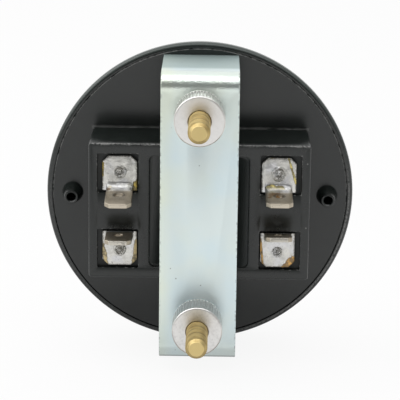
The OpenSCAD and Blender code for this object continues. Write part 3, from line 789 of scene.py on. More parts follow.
def tinned(name, tint, seed, lines=(), smears=(), hole=None, up=None):
    """Hot-tinned sheet, uneven and grimy at its edges, with flux of a tint along lines and brown smears.

    A line is (x0, z0, x1, z1, width) and a smear is (x, y, z, radius). A blade has its hole's middle at hole
    and runs along up: its cut tip is brighter, and an upper blade has painted shade round the hole.
    """
    base = tuple(settings("colours").tin)
    t = settings("terminals")
    finish = Finish(name)
    x, y, z = finish.axes
    mottle = finish.noise(1.1 * MM, detail=4, rough=0.6, seed=seed)
    fine = finish.noise(0.25 * MM, detail=3, seed=seed)
    ragged = finish.noise(0.9 * MM, detail=5, rough=0.65, seed=seed + 3)
    broad = finish.noise(2.6 * MM, seed=seed + 5)
    height = y - WELL_FLOOR
    foot = height.rise(1.6 * MM, 0.9 * MM)
    bend = height.rise(0.75 * MM, 0.95 * MM) * height.rise(2.8 * MM, 2.0 * MM)
    blade = height.rise(2.0 * MM, 3.2 * MM)
    aside, beyond = abs(abs(x) - PIN_X), abs(z) - PIN_Z
    corner = (aside + beyond - (t.foot_w / 2 + t.foot_reach - t.foot_corner)) * math.sqrt(0.5)
    margin = most(corner, aside - t.foot_w / 2, beyond - t.foot_reach)
    grime = (margin + (ragged - 0.5) * (0.6 * MM)).rise(-0.32 * MM, -0.12 * MM) * foot * fine.rise(0.35, 0.55)
    singed = (from_axis(aside, beyond) + (ragged - 0.5) * (1.6 * MM)).rise(1.3 * MM, 0.7 * MM)
    spots = 0.55 * fine.rise(0.60, 0.72) + 0.4 * mottle.rise(0.60, 0.68)
    stain = most(spots, 0.8 * (singed * fine.rise(0.38, 0.6)), 0.75 * grime)
    metal = finish.mix(mottle.rise(0.3, 0.7), tone(base, 0.78), tone(base, 1.12))
    metal = finish.mix(broad.rise(0.48, 0.66) * 0.7, metal, tone(base, (0.96, 0.98, 1.07)))
    metal = finish.mix(blade * 0.85, metal, tone(base, (0.60, 0.52, 0.41)))
    if hole:
        upper = hole[2] > 0
        end = (y - hole[1]) * up[1] + (z - hole[2]) * up[2]
        end = end.rise(t.hole_in - 0.2 * MM, t.hole_in - 0.04 * MM)
        metal = finish.mix(end * 0.7, metal, tone(base, (1.0, 0.92, 0.80) if upper else (1.08, 1.06, 1.02)))
        if upper:
            # Painted shade: a dark ring round the hole of an upper blade, on its side towards the bend
            ring = abs(finish.distance(hole) - (t.hole + 0.26 * MM)).rise(0.2 * MM, 0.08 * MM)
            stain = most(stain, 0.75 * (ring * y.rise(hole[1] + 2 * MM, hole[1])))
    for *spot, radius in smears:
        brown = (finish.distance(spot) + (ragged - 0.5) * (1.6 * radius)).rise(1.1 * radius, 0.6 * radius)
        metal = finish.mix(brown * (0.4 + 0.6 * fine.rise(0.3, 0.6)), metal, (0.24, 0.13, 0.045))
    spotted = finish.mix(stain, metal, (0.13, 0.12, 0.10))
    flux, border = flux_marks(finish, lines, ragged, seed)
    amber = finish.mix(mottle.rise(0.42, 0.58), tone(tint, 1.35), tone(tint, 0.4))
    amber = finish.mix(border * ragged.rise(0.3, 0.5), amber, (0.06, 0.038, 0.010))
    finish.set(
        base_color=finish.mix(flux * foot * 0.9, spotted, amber),
        roughness=0.20 + 0.20 * fine + 0.12 * blade + 0.08 * bend,
        metallic=1.0 - 0.45 * (flux * foot),
    )
    crown = (aside / (t.blade_w / 2)) ** 6 * bend
    finish.bump(mottle * (1.0 + 1.2 * bend) + 0.25 * fine - 2.0 * crown, 0.6, 0.16 * MM)
    return finish.material


def clear_plastic():
    """Polished lens with faint haze."""
    finish = Finish("clear_plastic", transmission_weight=1.0, ior=1.49)
    haze = finish.noise(4 * MM, detail=3)
    tint = finish.mix(haze, (0.95, 0.97, 0.97), (0.98, 0.99, 0.99))
    finish.set(base_color=tint, roughness=0.01 + 0.03 * haze)
    return finish.material


def plain_finish(name, light, dark, rough, size, metallic=0.0, detail=3, relief=0.15, depth=0.03 * MM):
    """Two close colours in a fine pattern."""
    finish = Finish(name, metallic=metallic)
    pattern = finish.noise(size, detail=detail)
    finish.set(base_color=finish.mix(pattern.rise(0.3, 0.7), dark, light), roughness=rough + 0.15 * pattern)
    finish.bump(pattern, relief, depth)
    return finish.material


def printed_sheet(name, light, dark):
    """Matt printed sheet with a fine tooth."""
    return plain_finish(name, light, dark, 0.5, 0.15 * MM, detail=2, relief=0.1, depth=0.02 * MM)


def layered_rubber():
    """Elastomer with its fine conducting layers across the strip."""
    finish = Finish("layered_rubber", roughness=0.6)
    pitch = 0.3 * MM
    layers = (finish.axes[0] * (2 * math.pi / pitch)).sine()
    finish.set(base_color=finish.mix(layers.rise(-0.3, 0.3), (0.52, 0.36, 0.36), (0.05, 0.05, 0.05)))
    return finish.material


def solder_mask():
    """Green board with darker tracks under its mask."""
    finish = Finish("solder_mask", roughness=0.35)
    values = {"Vector": finish.place, "Scale": 1 / (4 * MM), "Randomness": 0.6}
    tracks = finish.node("ShaderNodeTexVoronoi", {"feature": "DISTANCE_TO_EDGE"}, values)
    finish.set(base_color=finish.mix(tracks.rise(0.04, 0.07), (0.10, 0.28, 0.10), (0.02, 0.12, 0.05)))
    finish.bump(tracks.rise(0.07, 0.04), 0.3, 0.03 * MM)
    return finish.material


# Pieces

class ModelOperator:
    """What the operators share."""

    bl_options = {"REGISTER", "UNDO"}

    def execute(self, context):
        self.model()
        return {"FINISHED"}


class METER_OT_bezel(ModelOperator, bpy.types.Operator):
    """Model the bezel as one turned ring with rounded edges"""

    bl_idname = "hour_meter.bezel"
    bl_label = "Bezel"

    def model(self):
        case = settings("case")
        front = BEZEL_LOW.y
        bezel = rod("bezel_ring", BEZEL_HIGH.x, front, 0, RING_SIDES)
        round_edges(bezel, at_y(front), case.front_round, 14)
        round_edges(bezel, at_y(0), case.rim_round, 6)
        window = LENS_HIGH.x - case.lip_overlap
        flare = window + case.lip_chamfer + OVER
        cut(
            bezel,
            rod("seat", COVER_HIGH.x + case.mould_gap, -case.disc, OVER, RING_SIDES),
            rod("pocket", LENS_HIGH.x + case.mould_gap, LENS_LOW.y, OVER, RING_SIDES),
            rod("window", window, front - OVER, LENS_LOW.y + OVER, RING_SIDES),
            rod("chamfer", flare, front - OVER, front + case.lip_chamfer, RING_SIDES, tip=window),
        )
        soften(bezel, case.soft_edge, sharp=35)
        smooth(bezel)
        place(bezel, "meter", moulded_black(), "bezel")


class METER_OT_rear_cover(ModelOperator, bpy.types.Operator):
    """Model the rear cover: disc, terminal block, pockets, bosses and the cavity behind the dial"""

    bl_idname = "hour_meter.rear_cover"
    bl_label = "Rear cover"

    # Share of the gap in its seat that the disc fills, so that the seam stays fine
    DISC_FILL = 0.6

    def terminal_block(self, case):
        """Block with the four pockets and the recess."""
        half = (case.block_w / 2, case.block_h / 2)
        body = plate("rear_cover_moulding", half, -case.disc, BLOCK_TOP, case.block_round, 4)
        round_edges(body, at_y(BLOCK_TOP), case.block_edge, 3)
        top = BLOCK_TOP + OVER
        middle, half = pocket()
        pockets = []
        for row, side in CORNERS:
            at = (side * middle[0], row * middle[1])
            pockets.append(plate("pocket", half, WELL_FLOOR, top, case.well_round, 3, at=at))
        half = (case.recess_w / 2, case.recess_h / 2)
        recess = plate("recess", half, BLOCK_TOP - case.recess_depth, top, case.recess_round, 6)
        cut(body, gather(pockets), recess)
        soften(body, case.soft_edge, sharp=50)
        return body

    def skirt(self, case):
        """Fillet round the foot of the block."""
        half_w, half_h = case.block_w / 2 + case.root, case.block_h / 2 + case.root
        skirt = plate("skirt", (half_w, half_h), -case.disc / 2, case.root, case.block_round + case.root, 4)
        open_mesh(skirt)
        pick(skirt, "verts", lambda v: near(v.co.y, case.root))
        inner = (1 - case.root / half_w, 1, 1 - case.root / half_h)
        bpy.ops.transform.resize(value=inner, center_override=(0, case.root, 0))
        close_mesh()
        return skirt

    def hollow_bosses(self, cover, case):
        """Conical bosses at the left and right of the disc, each with a blind hole."""
        root, base, tip, hole = case.root, case.boss_base, case.boss_h, case.boss_hole
        wide = hole + case.boss_mouth + HAIR
        for side in (LEFT, RIGHT):
            at = (side * (COVER_HIGH.x - case.boss_inset), 0)
            boss = rod("boss", base, 0, tip, BOSS_SIDES, tip=case.boss_tip, at=at)
            round_edges(boss, at_y(tip), case.boss_edge, 2)
            flare = rod("flare", base + root, -case.disc / 2, root, BOSS_SIDES, tip=base - SLIVER, at=at)
            fuse(cover, flare, boss)
            cut(
                cover,
                rod("hole", hole, tip - case.boss_depth, tip + OVER, BOSS_SIDES, at=at),
                rod("mouth", hole, tip - case.boss_mouth, tip + HAIR, BOSS_SIDES, tip=wide, at=at),
            )

    def stud_bosses(self, cover, case, rib_r):
        """Bosses inside the cover that hold the heads of the studs."""
        b = settings("bracket")
        head_r = STUD_HIGH.x + case.mould_gap
        for row in (TOP, BOTTOM):
            at = (0, row * STUD_Z)
            boss = rod("stud_boss", head_r + case.stud_wall, STUD_LOW.y, -case.disc / 2, BOSS_SIDES, at=at)
            combine(boss, rod("limit", rib_r, COVER_LOW.y, 0, RIB_SIDES), "INTERSECT")
            fuse(cover, boss)
            cut(
                cover,
                rod("stud_hole", b.stud + HAIR, COVER_LOW.y - OVER, OVER, BOSS_SIDES, at=at),
                hexagon("head_pocket", head_r, COVER_LOW.y - OVER, -b.stud_seat, at),
            )

    def screw_posts(self, cover, case, roof):
        """Posts in the cavity that take the screws of the display holder."""
        board_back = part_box("circuit_board")[1].y
        for side in (LEFT, RIGHT):
            low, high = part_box("frame_screw_" + SIDE_NAMES[side])
            at = ((low.x + high.x) / 2, 0)
            fuse(cover, rod("post", case.post, board_back, roof + OVER / 2, BOSS_SIDES, at=at))
            cut(cover, rod("thread_hole", case.post_hole, board_back - OVER, high.y + HAIR, PIN_SIDES, at=at))

    def model(self):
        case, t = settings("case"), settings("terminals")
        cover = self.terminal_block(case)
        disc = rod("disc", COVER_HIGH.x + self.DISC_FILL * case.mould_gap, -case.disc, 0, RING_SIDES)
        round_edges(disc, at_y(0), case.disc_edge, 1)
        fuse(cover, disc, self.skirt(case))
        rib_r = LENS_HIGH.x - case.mould_gap
        rib = rod("rib", rib_r, COVER_LOW.y, -case.disc / 2, RIB_SIDES)
        cut(rib, rod("inside", rib_r - case.rib, COVER_LOW.y - OVER, OVER, RIB_SIDES))
        fuse(cover, rib)
        self.hollow_bosses(cover, case)
        self.stud_bosses(cover, case, rib_r)
        roof = BLOCK_TOP - case.block_wall
        half_w, half_h = case.block_w / 2 - case.block_wall, case.block_h / 2 - case.block_wall
        cut(cover, block("cavity", (-half_w, COVER_LOW.y - OVER, -half_h), (half_w, roof, half_h)))
        for row, side in CORNERS:
            at = (side * PIN_X, row * PIN_Z)
            cut(cover, rod("pin_hole", t.pin + t.pin_gap, roof - OVER, BLOCK_TOP, PIN_SIDES, at=at))
        self.screw_posts(cover, case, roof)
        smooth(cover)
        place(cover, "meter", moulded_black(), "rear_cover")


class METER_OT_terminals(ModelOperator, bpy.types.Operator):
    """Model the four blade terminals from bent sheet, each with its own lean and stains"""

    bl_idname = "hour_meter.terminals"
    bl_label = "Blade terminals"

    # For each terminal, in millimetres: flux lines (x0, z0, x1, z1, width), the flux's colour, and smears
    # (x, y, z, radius) placed from the hole in the blade
    STAINS = {
        (TOP, LEFT): (
            ((17.75, 9.0, 17.75, 6.6, 0.4), (11.3, 5.4, 11.4, 3.9, 0.7), (16.5, 4.3, 14.2, 4.2, 0.35)),
            (0.40, 0.29, 0.03),
            ((2.1, -2.4, 0.4, 0.7),),
        ),
        (TOP, RIGHT): (
            ((-16.2, 10.2, -17.6, 5.6, 0.2), (-12.4, 4.8, -15.2, 4.7, 0.5)),
            (0.60, 0.50, 0.16),
            ((0.9, -0.9, 0, 1.3), (1.8, 0.6, 0, 0.6)),
        ),
        (BOTTOM, LEFT): (
            ((17.7, -6.4, 16.9, -10.2, 0.4), (11.35, -5.6, 11.9, -10.3, 0.4)),
            (0.42, 0.33, 0.16),
            (),
        ),
        (BOTTOM, RIGHT): (
            ((-17.6, -8.6, -15.6, -10.5, 0.6), (-11.3, -5.0, -11.9, -10.2, 0.2)),
            (0.52, 0.29, 0.07),
            ((1.9, -1.6, 0, 0.6),),
        ),
    }
    SEED_STEP = 7.0
    BEND_STEPS = 9

    def blade(self, name, lean):
        """Terminal of the upper left pocket: foot plate, ears, bend and blade."""
        t = settings("terminals")
        top, inner, half = WELL_FLOOR + t.sheet, t.blade_w / 2, t.foot_w / 2
        bend_r = t.bend + t.sheet
        bend_z = PIN_Z - t.foot_near + bend_r
        far_z = PIN_Z + t.foot_reach
        piece = block(name, (PIN_X - half, WELL_FLOOR, bend_z), (PIN_X + half, top, far_z))
        round_edges(piece, lambda e: along_y(e) and near(e.verts[0].co.z, far_z), t.foot_corner, 1)
        open_mesh(piece, "FACE")
        for cut_x in (-inner - t.ear_slot, -inner, inner, inner + t.ear_slot):
            bpy.ops.mesh.select_all(action="SELECT")
            bpy.ops.mesh.bisect(plane_co=(PIN_X + cut_x, 0, 0), plane_no=(1, 0, 0))

        def end_face(low, high):
            def test(face):
                middle = face.calc_center_median()
                return near(middle.z, bend_z) and low < abs(middle.x - PIN_X) < high
            return test

        pick(piece, "faces", end_face(inner + t.ear_slot, half))
        push((0, 0, PIN_Z - t.foot_near + t.ear_step - bend_z))
        pick(piece, "faces", end_face(-1, inner))
        axis = Vector((PIN_X, WELL_FLOOR + bend_r, bend_z))
        bpy.ops.mesh.spin(steps=self.BEND_STEPS, angle=lean - math.pi / 2, center=axis, axis=(1, 0, 0))
        up = Vector((0, math.cos(lean), -math.sin(lean)))
        straight = t.blade_len - t.bend
        push(up * (straight - t.blade_corner))
        push(up * t.blade_corner)
        tip = 1 - 2 * t.blade_corner / t.blade_w
        bpy.ops.transform.resize(value=(tip, 1, 1), center_override=(PIN_X, 0, 0))
        close_mesh()
        true_up(piece)
        middle = t.bend + t.sheet / 2
        root = axis - Vector((0, middle * math.sin(lean), middle * math.cos(lean)))
        hole = root + up * (straight - t.hole_in)
        clear_selection()
        bpy.ops.mesh.primitive_cylinder_add(
            vertices=BOSS_SIDES, radius=t.hole, depth=4 * t.sheet, location=hole, rotation=(-lean, 0, 0)
        )
        cut(piece, take("blade_hole"))
        at = (PIN_X, PIN_Z)
        cut(piece, rod("pin_hole", t.pin + t.pin_gap, WELL_FLOOR - OVER, top + OVER, PIN_SIDES, at=at))
        soften(piece, t.stamped_edge, segments=3)
        return piece, hole, up

    def model(self):
        leans = settings("terminals").leans
        for index, (row, side) in enumerate(CORNERS):
            name = corner_name(row, side)
            piece, hole, up = self.blade("blade_" + name, leans[index])
            if (row, side) != (TOP, LEFT):
                open_mesh(piece, select="SELECT")
                bpy.ops.transform.resize(value=(side, 1, row), center_override=(0, 0, 0))
                close_mesh()
                true_up(piece)
            smooth(piece)
            hole, up = ((side * v.x, v.y, row * v.z) for v in (hole, up))
            lines, tint, smears = self.STAINS[row, side]
            lines = [[v * MM for v in line] for line in lines]
            smears = [[start + v * MM for start, v in zip((*hole, 0), smear)] for smear in smears]
            material = tinned("tinned_" + name, tint, self.SEED_STEP * index, lines, smears, hole, up)
            place(piece, "meter", material, "terminal_" + name)


class METER_OT_contact_pins(ModelOperator, bpy.types.Operator):
    """Model the pins and the uneven solder that joins them to the foot plates"""

    bl_idname = "hour_meter.contact_pins"
    bl_label = "Contact pins"

    # Share of the solder's radius at each terminal, and its section as shares of its radius and height
    WIDTHS = {(TOP, LEFT): 1.0, (TOP, RIGHT): 1.15, (BOTTOM, LEFT): 0.95, (BOTTOM, RIGHT): 0.68}
    SECTION = (
        (1.0, 0.02), (0.86, 0.28), (0.74, 0.5), (0.62, 0.42),
        (0.5, 0.1), (0.38, 0.08), (0.27, 0.5), (0.14, 0.85),
    )
    SOLDER_SIDES = 36
    FIRST_SEED, SEED_STEP = 3, 5

    def model(self):
        t = settings("terminals")
        top = WELL_FLOOR + t.sheet
        above_edge = top + 0.05 * t.solder_h
        material = tinned("solder_tin", (0.44, 0.34, 0.03), 31.0)
        for index, (row, side) in enumerate(CORNERS):
            at = (side * PIN_X, row * PIN_Z)
            name = corner_name(row, side)
            wide = t.solder * self.WIDTHS[row, side]
            rings = [(wide * r, top + t.solder_h * h) for r, h in self.SECTION]
            edge_r, edge_y = rings[0]
            solder = hoop("solder_" + name, edge_r, edge_y, at, self.SOLDER_SIDES)
            turn_rings(solder, rings, at)
            bpy.ops.mesh.edge_face_add()
            bpy.ops.mesh.select_mode(type="VERT")
            pick(solder, "verts", lambda v: v.co.y > above_edge)
            seed = self.FIRST_SEED + self.SEED_STEP * index
            bpy.ops.transform.vertex_random(offset=t.solder_wave, uniform=0.2, seed=seed)
            pick(solder, "verts", lambda v: near(v.co.y, edge_y))
            bpy.ops.mesh.edge_face_add()
            close_mesh()
            true_up(solder)
            shape(solder, "SUBSURF", levels=2, render_levels=2)
            fuse(solder, rod("pin", t.pin, PIN_LOW.y, top + 0.2 * t.solder_h, PIN_SIDES, at=at))
            smooth(solder, 50)
            place(solder, "meter", material, "contact_pin_" + name)


class METER_OT_bracket(ModelOperator, bpy.types.Operator):
    """Model the U bracket by folding a strip and giving it its thickness"""

    bl_idname = "hour_meter.bracket"
    bl_label = "Bracket"

    HOLE_SIDES = 64
    BEND_STEPS = 10

    def model(self):
        b = settings("bracket")
        middle = b.sheet / 2
        strap_y, leg_z = BRACKET_HIGH.y - middle, BRACKET_HIGH.z - middle

        def at_end(edge):
            return near(abs(edge.verts[0].co.z + edge.verts[1].co.z) / 2, leg_z)

        clear_selection()
        bpy.ops.mesh.primitive_plane_add(
            size=2 * leg_z, location=(0, strap_y, 0), rotation=(-math.pi / 2, 0, 0)
        )
        bracket = take("u_bracket")
        open_mesh(bracket, "EDGE", "SELECT")
        bpy.ops.transform.resize(value=(BRACKET_HIGH.x / leg_z, 1, 1), center_override=(0, strap_y, 0))
        pick(bracket, "edges", at_end)
        bpy.ops.mesh.extrude_edges_move(TRANSFORM_OT_translate={"value": (0, -strap_y, 0)})
        pick(bracket, "edges", lambda e: at_end(e) and at_y(strap_y)(e))
        bpy.ops.mesh.bevel(offset=b.bend - middle, segments=self.BEND_STEPS, profile=0.5, affect="EDGES")
        bpy.ops.mesh.select_all(action="SELECT")
        bpy.ops.mesh.normals_make_consistent(inside=False)
        close_mesh()
        shape(bracket, "SOLIDIFY", thickness=b.sheet, offset=0, use_even_offset=True)
        for row in (TOP, BOTTOM):
            at = (0, row * STUD_Z)
            cut(bracket, rod("hole", b.hole, strap_y - 2 * OVER, strap_y + 2 * OVER, self.HOLE_SIDES, at=at))
        true_up(bracket)
        soften(bracket, b.sheared_edge, segments=3)
        smooth(bracket)
        place(bracket, "bracket", zinc_plate(), "bracket")


class METER_OT_studs(ModelOperator, bpy.types.Operator):
    """Model the threaded studs with their tapered tips and hexagon heads"""

    bl_idname = "hour_meter.studs"
    bl_label = "Studs"

    # Ends of the thread's crest as shares of the pitch, turns that run past the ends, and steps in a turn
    CREST = (0.42, 0.58)
    SPARE_TURNS = 3
    STEPS = 36
    ENVELOPE_SIDES = 72

    def thread(self, b, turns):
        """Thread about Z, from one pitch below the origin."""
        root, crest = b.stud - b.thread, b.stud + HAIR
        section = ((root, 0), (crest, self.CREST[0]), (crest, self.CREST[1]), (root, 1))
        coil = hoop("coil", root, 0, (0, 0), len(section))
        open_mesh(coil, "EDGE")
        mesh = bmesh.from_edit_mesh(coil.data)
        for corner, (radius, share) in zip(mesh.verts, section):
            corner.co = (radius, 0, (share - 1) * b.pitch)
        pick(coil, "edges", lambda e: all(near(v.co.x, root) for v in e.verts))
        bpy.ops.mesh.delete(type="EDGE")
        close_mesh()
        shape(
            coil, "SCREW", axis="Z", angle=2 * math.pi, screw_offset=b.pitch, iterations=turns,
            steps=self.STEPS, render_steps=self.STEPS, use_merge_vertices=True, merge_threshold=WELD,
        )
        open_mesh(coil, "EDGE", "SELECT")
        bpy.ops.mesh.remove_doubles(threshold=WELD)
        bpy.ops.mesh.fill_holes(sides=0)
        close_mesh()
        true_up(coil)
        return coil

    def envelope(self, b, at):
        """Bar with a tapered tip that trims the thread."""
        taper_y = STUD_HIGH.y - b.stud_taper
        limit = rod("limit", b.stud, -b.stud_seat, taper_y, self.ENVELOPE_SIDES, at=at)
        open_mesh(limit, "FACE")
        pick(limit, "faces", lambda f: near(f.calc_center_median().y, taper_y))
        push((0, b.stud_taper, 0))
        narrow = b.stud_tip / b.stud
        bpy.ops.transform.resize(value=(narrow, 1, narrow), center_override=(at[0], STUD_HIGH.y, at[1]))
        close_mesh()
        return limit

    def model(self):
        b = settings("bracket")
        at = (0, STUD_Z)
        stud = self.thread(b, math.ceil((STUD_HIGH.y + b.stud_seat) / b.pitch) + self.SPARE_TURNS)
        stud.rotation_euler = (-math.pi / 2, 0, 0)
        stud.location = (0, -b.stud_seat - b.pitch, STUD_Z)
        use(stud)
        take("threaded_stud_top")
        combine(stud, self.envelope(b, at), "INTERSECT")
        fuse(stud, hexagon("head", STUD_HIGH.x, STUD_LOW.y, SLIVER / 2 - b.stud_seat, at))
        smooth(stud, 28)
        material = turned_brass()
        for row, piece in with_lower(stud, "threaded_stud"):
            place(piece, "meter", material, "stud_" + row)


class METER_OT_nuts(ModelOperator, bpy.types.Operator):
    """Model the knurled thumb nuts ring by ring"""

    bl_idname = "hour_meter.nuts"
    bl_label = "Thumb nuts"

    # Points of the ring for each tooth, one of which lies in the groove
    TOOTH_POINTS = 4

    def model(self):
        b = settings("bracket")
        at = (0, STUD_Z)
        radius, low, high = NUT_HIGH.x, NUT_LOW.y, NUT_HIGH.y
        flat, collar, mouth = radius - b.nut_chamfer, radius - SLIVER, b.bore + b.entry
        fade, line = b.knurl / 2, b.turned_line
        points = self.TOOTH_POINTS * b.teeth
        rings = [
            (flat, low),
            (collar, low + b.nut_chamfer),
            (collar, low + b.collar),
            (radius, low + b.collar + fade),
            (radius, high - b.collar - fade),
            (collar, high - b.collar),
            (collar, high - b.nut_chamfer),
            (flat, high),
            (flat - line, high - line),
            (flat - 3 * line, high),
            (mouth, high),
            (b.bore, high - b.entry),
            (b.bore, low + b.entry),
            (mouth, low),
        ]
        nut = hoop("thumb_nut_top", flat, low, at, points)
        turn_rings(nut, rings, at)
        pick(nut, "edges", lambda e: e.is_boundary and at_y(low)(e))
        bpy.ops.mesh.bridge_edge_loops()
        bpy.ops.mesh.select_mode(type="VERT")

        def groove(v):
            step = round(math.atan2(v.co.x, v.co.z - STUD_Z) * points / (2 * math.pi))
            return step % self.TOOTH_POINTS == 0 and math.hypot(v.co.x, v.co.z - STUD_Z) > collar + SLIVER / 2

        pick(nut, "verts", groove)
        depth = 1 - b.knurl / radius
        bpy.ops.transform.resize(value=(depth, 1, depth), center_override=(0, 0, STUD_Z))
        close_mesh()
        true_up(nut)
        smooth(nut, 20)
        material = nickel_plate()
        for row, piece in with_lower(nut, "thumb_nut"):
            place(piece, "nut_" + row, material, "nut_" + row)


class METER_OT_front(ModelOperator, bpy.types.Operator):
    """Model the lens, the dial plate with its plain print, and the digits of the display"""

    bl_idname = "hour_meter.front"
    bl_label = "Front"

    # Strokes of each figure, and the place of each stroke in half widths and quarter heights
    FIGURES = {
        "0": "abcdef", "1": "bc", "2": "abdeg", "3": "abcdg", "4": "bcfg",
        "5": "acdfg", "6": "acdefg", "7": "abc", "8": "abcdefg", "9": "abcdfg",
    }
    STROKES = {"a": (0, 2), "b": (1, 1), "c": (1, -1), "d": (0, -2), "e": (-1, -1), "f": (-1, 1), "g": (0, 0)}
    TICK_COUNT = 60
    INK_ROOT = SLIVER / 2

    def lens(self, d):
        lens = rod("clear_lens", LENS_HIGH.x, LENS_LOW.y, LENS_HIGH.y - d.lens_gap, RING_SIDES)
        soften(lens, settings("case").soft_edge)
        smooth(lens)
        place(lens, "meter", clear_plastic(), "lens")

    def dial(self, d, view):
        dial = rod("printed_dial", DIAL_HIGH.x, DIAL_LOW.y, DIAL_HIGH.y, RING_SIDES)
        cut(dial, plate("view", view, DIAL_LOW.y - OVER, DIAL_HIGH.y + OVER, d.view_round, 6))
        soften(dial, d.sheet_edge)
        smooth(dial)
        material = printed_sheet("dial_sheet", (0.88, 0.88, 0.85), (0.84, 0.84, 0.81))
        place(dial, "meter", material, "dial_plate")

    def print_on_dial(self, d, view):
        """Frame round the display and a ring of plain ticks, as thin raised ink."""
        low, high = DIAL_LOW.y - d.ink, DIAL_LOW.y + self.INK_ROOT
        inner = [size + d.frame_gap for size in view]
        outer = [size + d.frame_line for size in inner]
        line = plate("frame_line", outer, low, high, d.frame_round + d.frame_line, 6)
        cut(line, plate("frame_inside", inner, low - OVER, high + OVER, d.frame_round, 6))
        marks = [line]
        for index in range(self.TICK_COUNT):
            fifth = index % 5 == 0
            wide = d.tick_wide if fifth else d.tick_thin
            start = d.ticks - (d.tick_long if fifth else d.tick_short)
            tick = block("tick", (-wide, low, start), (wide, high, d.ticks))
            open_mesh(tick, select="SELECT")
            turn = 2 * math.pi * index / self.TICK_COUNT
            bpy.ops.transform.rotate(value=turn, orient_axis="Y", center_override=(0, 0, 0))
            close_mesh()
            marks.append(tick)
        ink = gather(marks)
        ink.name = "dial_print"
        place(ink, "meter", printed_sheet("dial_ink", (0.03, 0.03, 0.03), (0.02, 0.02, 0.02)))

    def digits(self, d):
        """Seven-segment figures and a point before the last of them, standing on the display glass."""
        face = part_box("lcd_glass")[0].y
        low, high = face - SLIVER, face + self.INK_ROOT
        step = d.figure_w + d.figure_gap
        across = d.stroke / 2
        short = d.stroke_gap + across
        lying, upright = (d.figure_w / 2 - short, across), (across, d.figure_h / 4 - short)
        parts = []
        for index, figure in enumerate(d.reading):
            middle = (index - (len(d.reading) - 1) / 2) * step
            for letter in self.FIGURES[figure]:
                right, up = self.STROKES[letter]
                at = (middle + right * d.figure_w / 2, up * d.figure_h / 4)
                half = upright if right else lying
                parts.append(plate("segment", half, low, high, 0.45 * across, 2, at=at))
        at = (middle - step / 2, -d.figure_h / 2)
        parts.append(plate("point", (across, across), low, high, 0.57 * across, 2, at=at))
        shown = gather(parts)
        shown.name = "display_digits"
        ink = printed_sheet("display_ink", (0.03, 0.03, 0.035), (0.02, 0.02, 0.02))
        place(shown, "meter", ink)

    def model(self):
        d = settings("dial")
        view = (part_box("lcd_glass")[1].x - d.view_in, d.view_h)
        self.lens(d)
        self.dial(d, view)
        self.print_on_dial(d, view)
        self.digits(d)


class METER_OT_inside(ModelOperator, bpy.types.Operator):
    """Give the parts inside the case their finishes"""

    bl_idname = "hour_meter.inside"
    bl_label = "Parts inside"

    # Lighter and darker colour, roughness, size of the pattern, how metallic, and the parts
    PLAIN = {
        "holder_grey": ((0.24, 0.24, 0.22), (0.20, 0.20, 0.19), 0.45, 1 * MM, 0.0, ["lcd_frame"]),
        "chip_compound": (
            (0.020, 0.020, 0.022), (0.012, 0.012, 0.013), 0.5, 0.3 * MM, 0.0,
            ["controller_chip", "memory_chip", "rectifier", "regulator"],
        ),
        "screw_zinc": (
            (0.42, 0.43, 0.45), (0.32, 0.33, 0.35), 0.3, 0.6 * MM, 1.0,
            ["frame_screw_left", "frame_screw_right"],
        ),
        "display_tint": ((0.36, 0.40, 0.30), (0.32, 0.36, 0.27), 0.12, 3 * MM, 0.0, ["lcd_glass"]),
        "can_plate": ((0.58, 0.59, 0.61), (0.48, 0.49, 0.51), 0.22, 1 * MM, 1.0, ["quartz_crystal"]),
        "shrunk_sleeve": ((0.012, 0.025, 0.11), (0.008, 0.016, 0.08), 0.3, 1.5 * MM, 0.0, ["capacitor"]),
        "lacquer": ((0.52, 0.38, 0.20), (0.44, 0.31, 0.15), 0.3, 1 * MM, 0.0, ["dropper_resistor"]),
    }

    def dress(self, material, nodes):
        for node in nodes:
            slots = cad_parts[node].data.materials
            slots.clear()
            slots.append(material)

    def model(self):
        for name, (*finish, nodes) in self.PLAIN.items():
            self.dress(plain_finish(name, *finish), nodes)
        self.dress(layered_rubber(), ["zebra_upper", "zebra_lower"])
        self.dress(solder_mask(), ["circuit_board"])


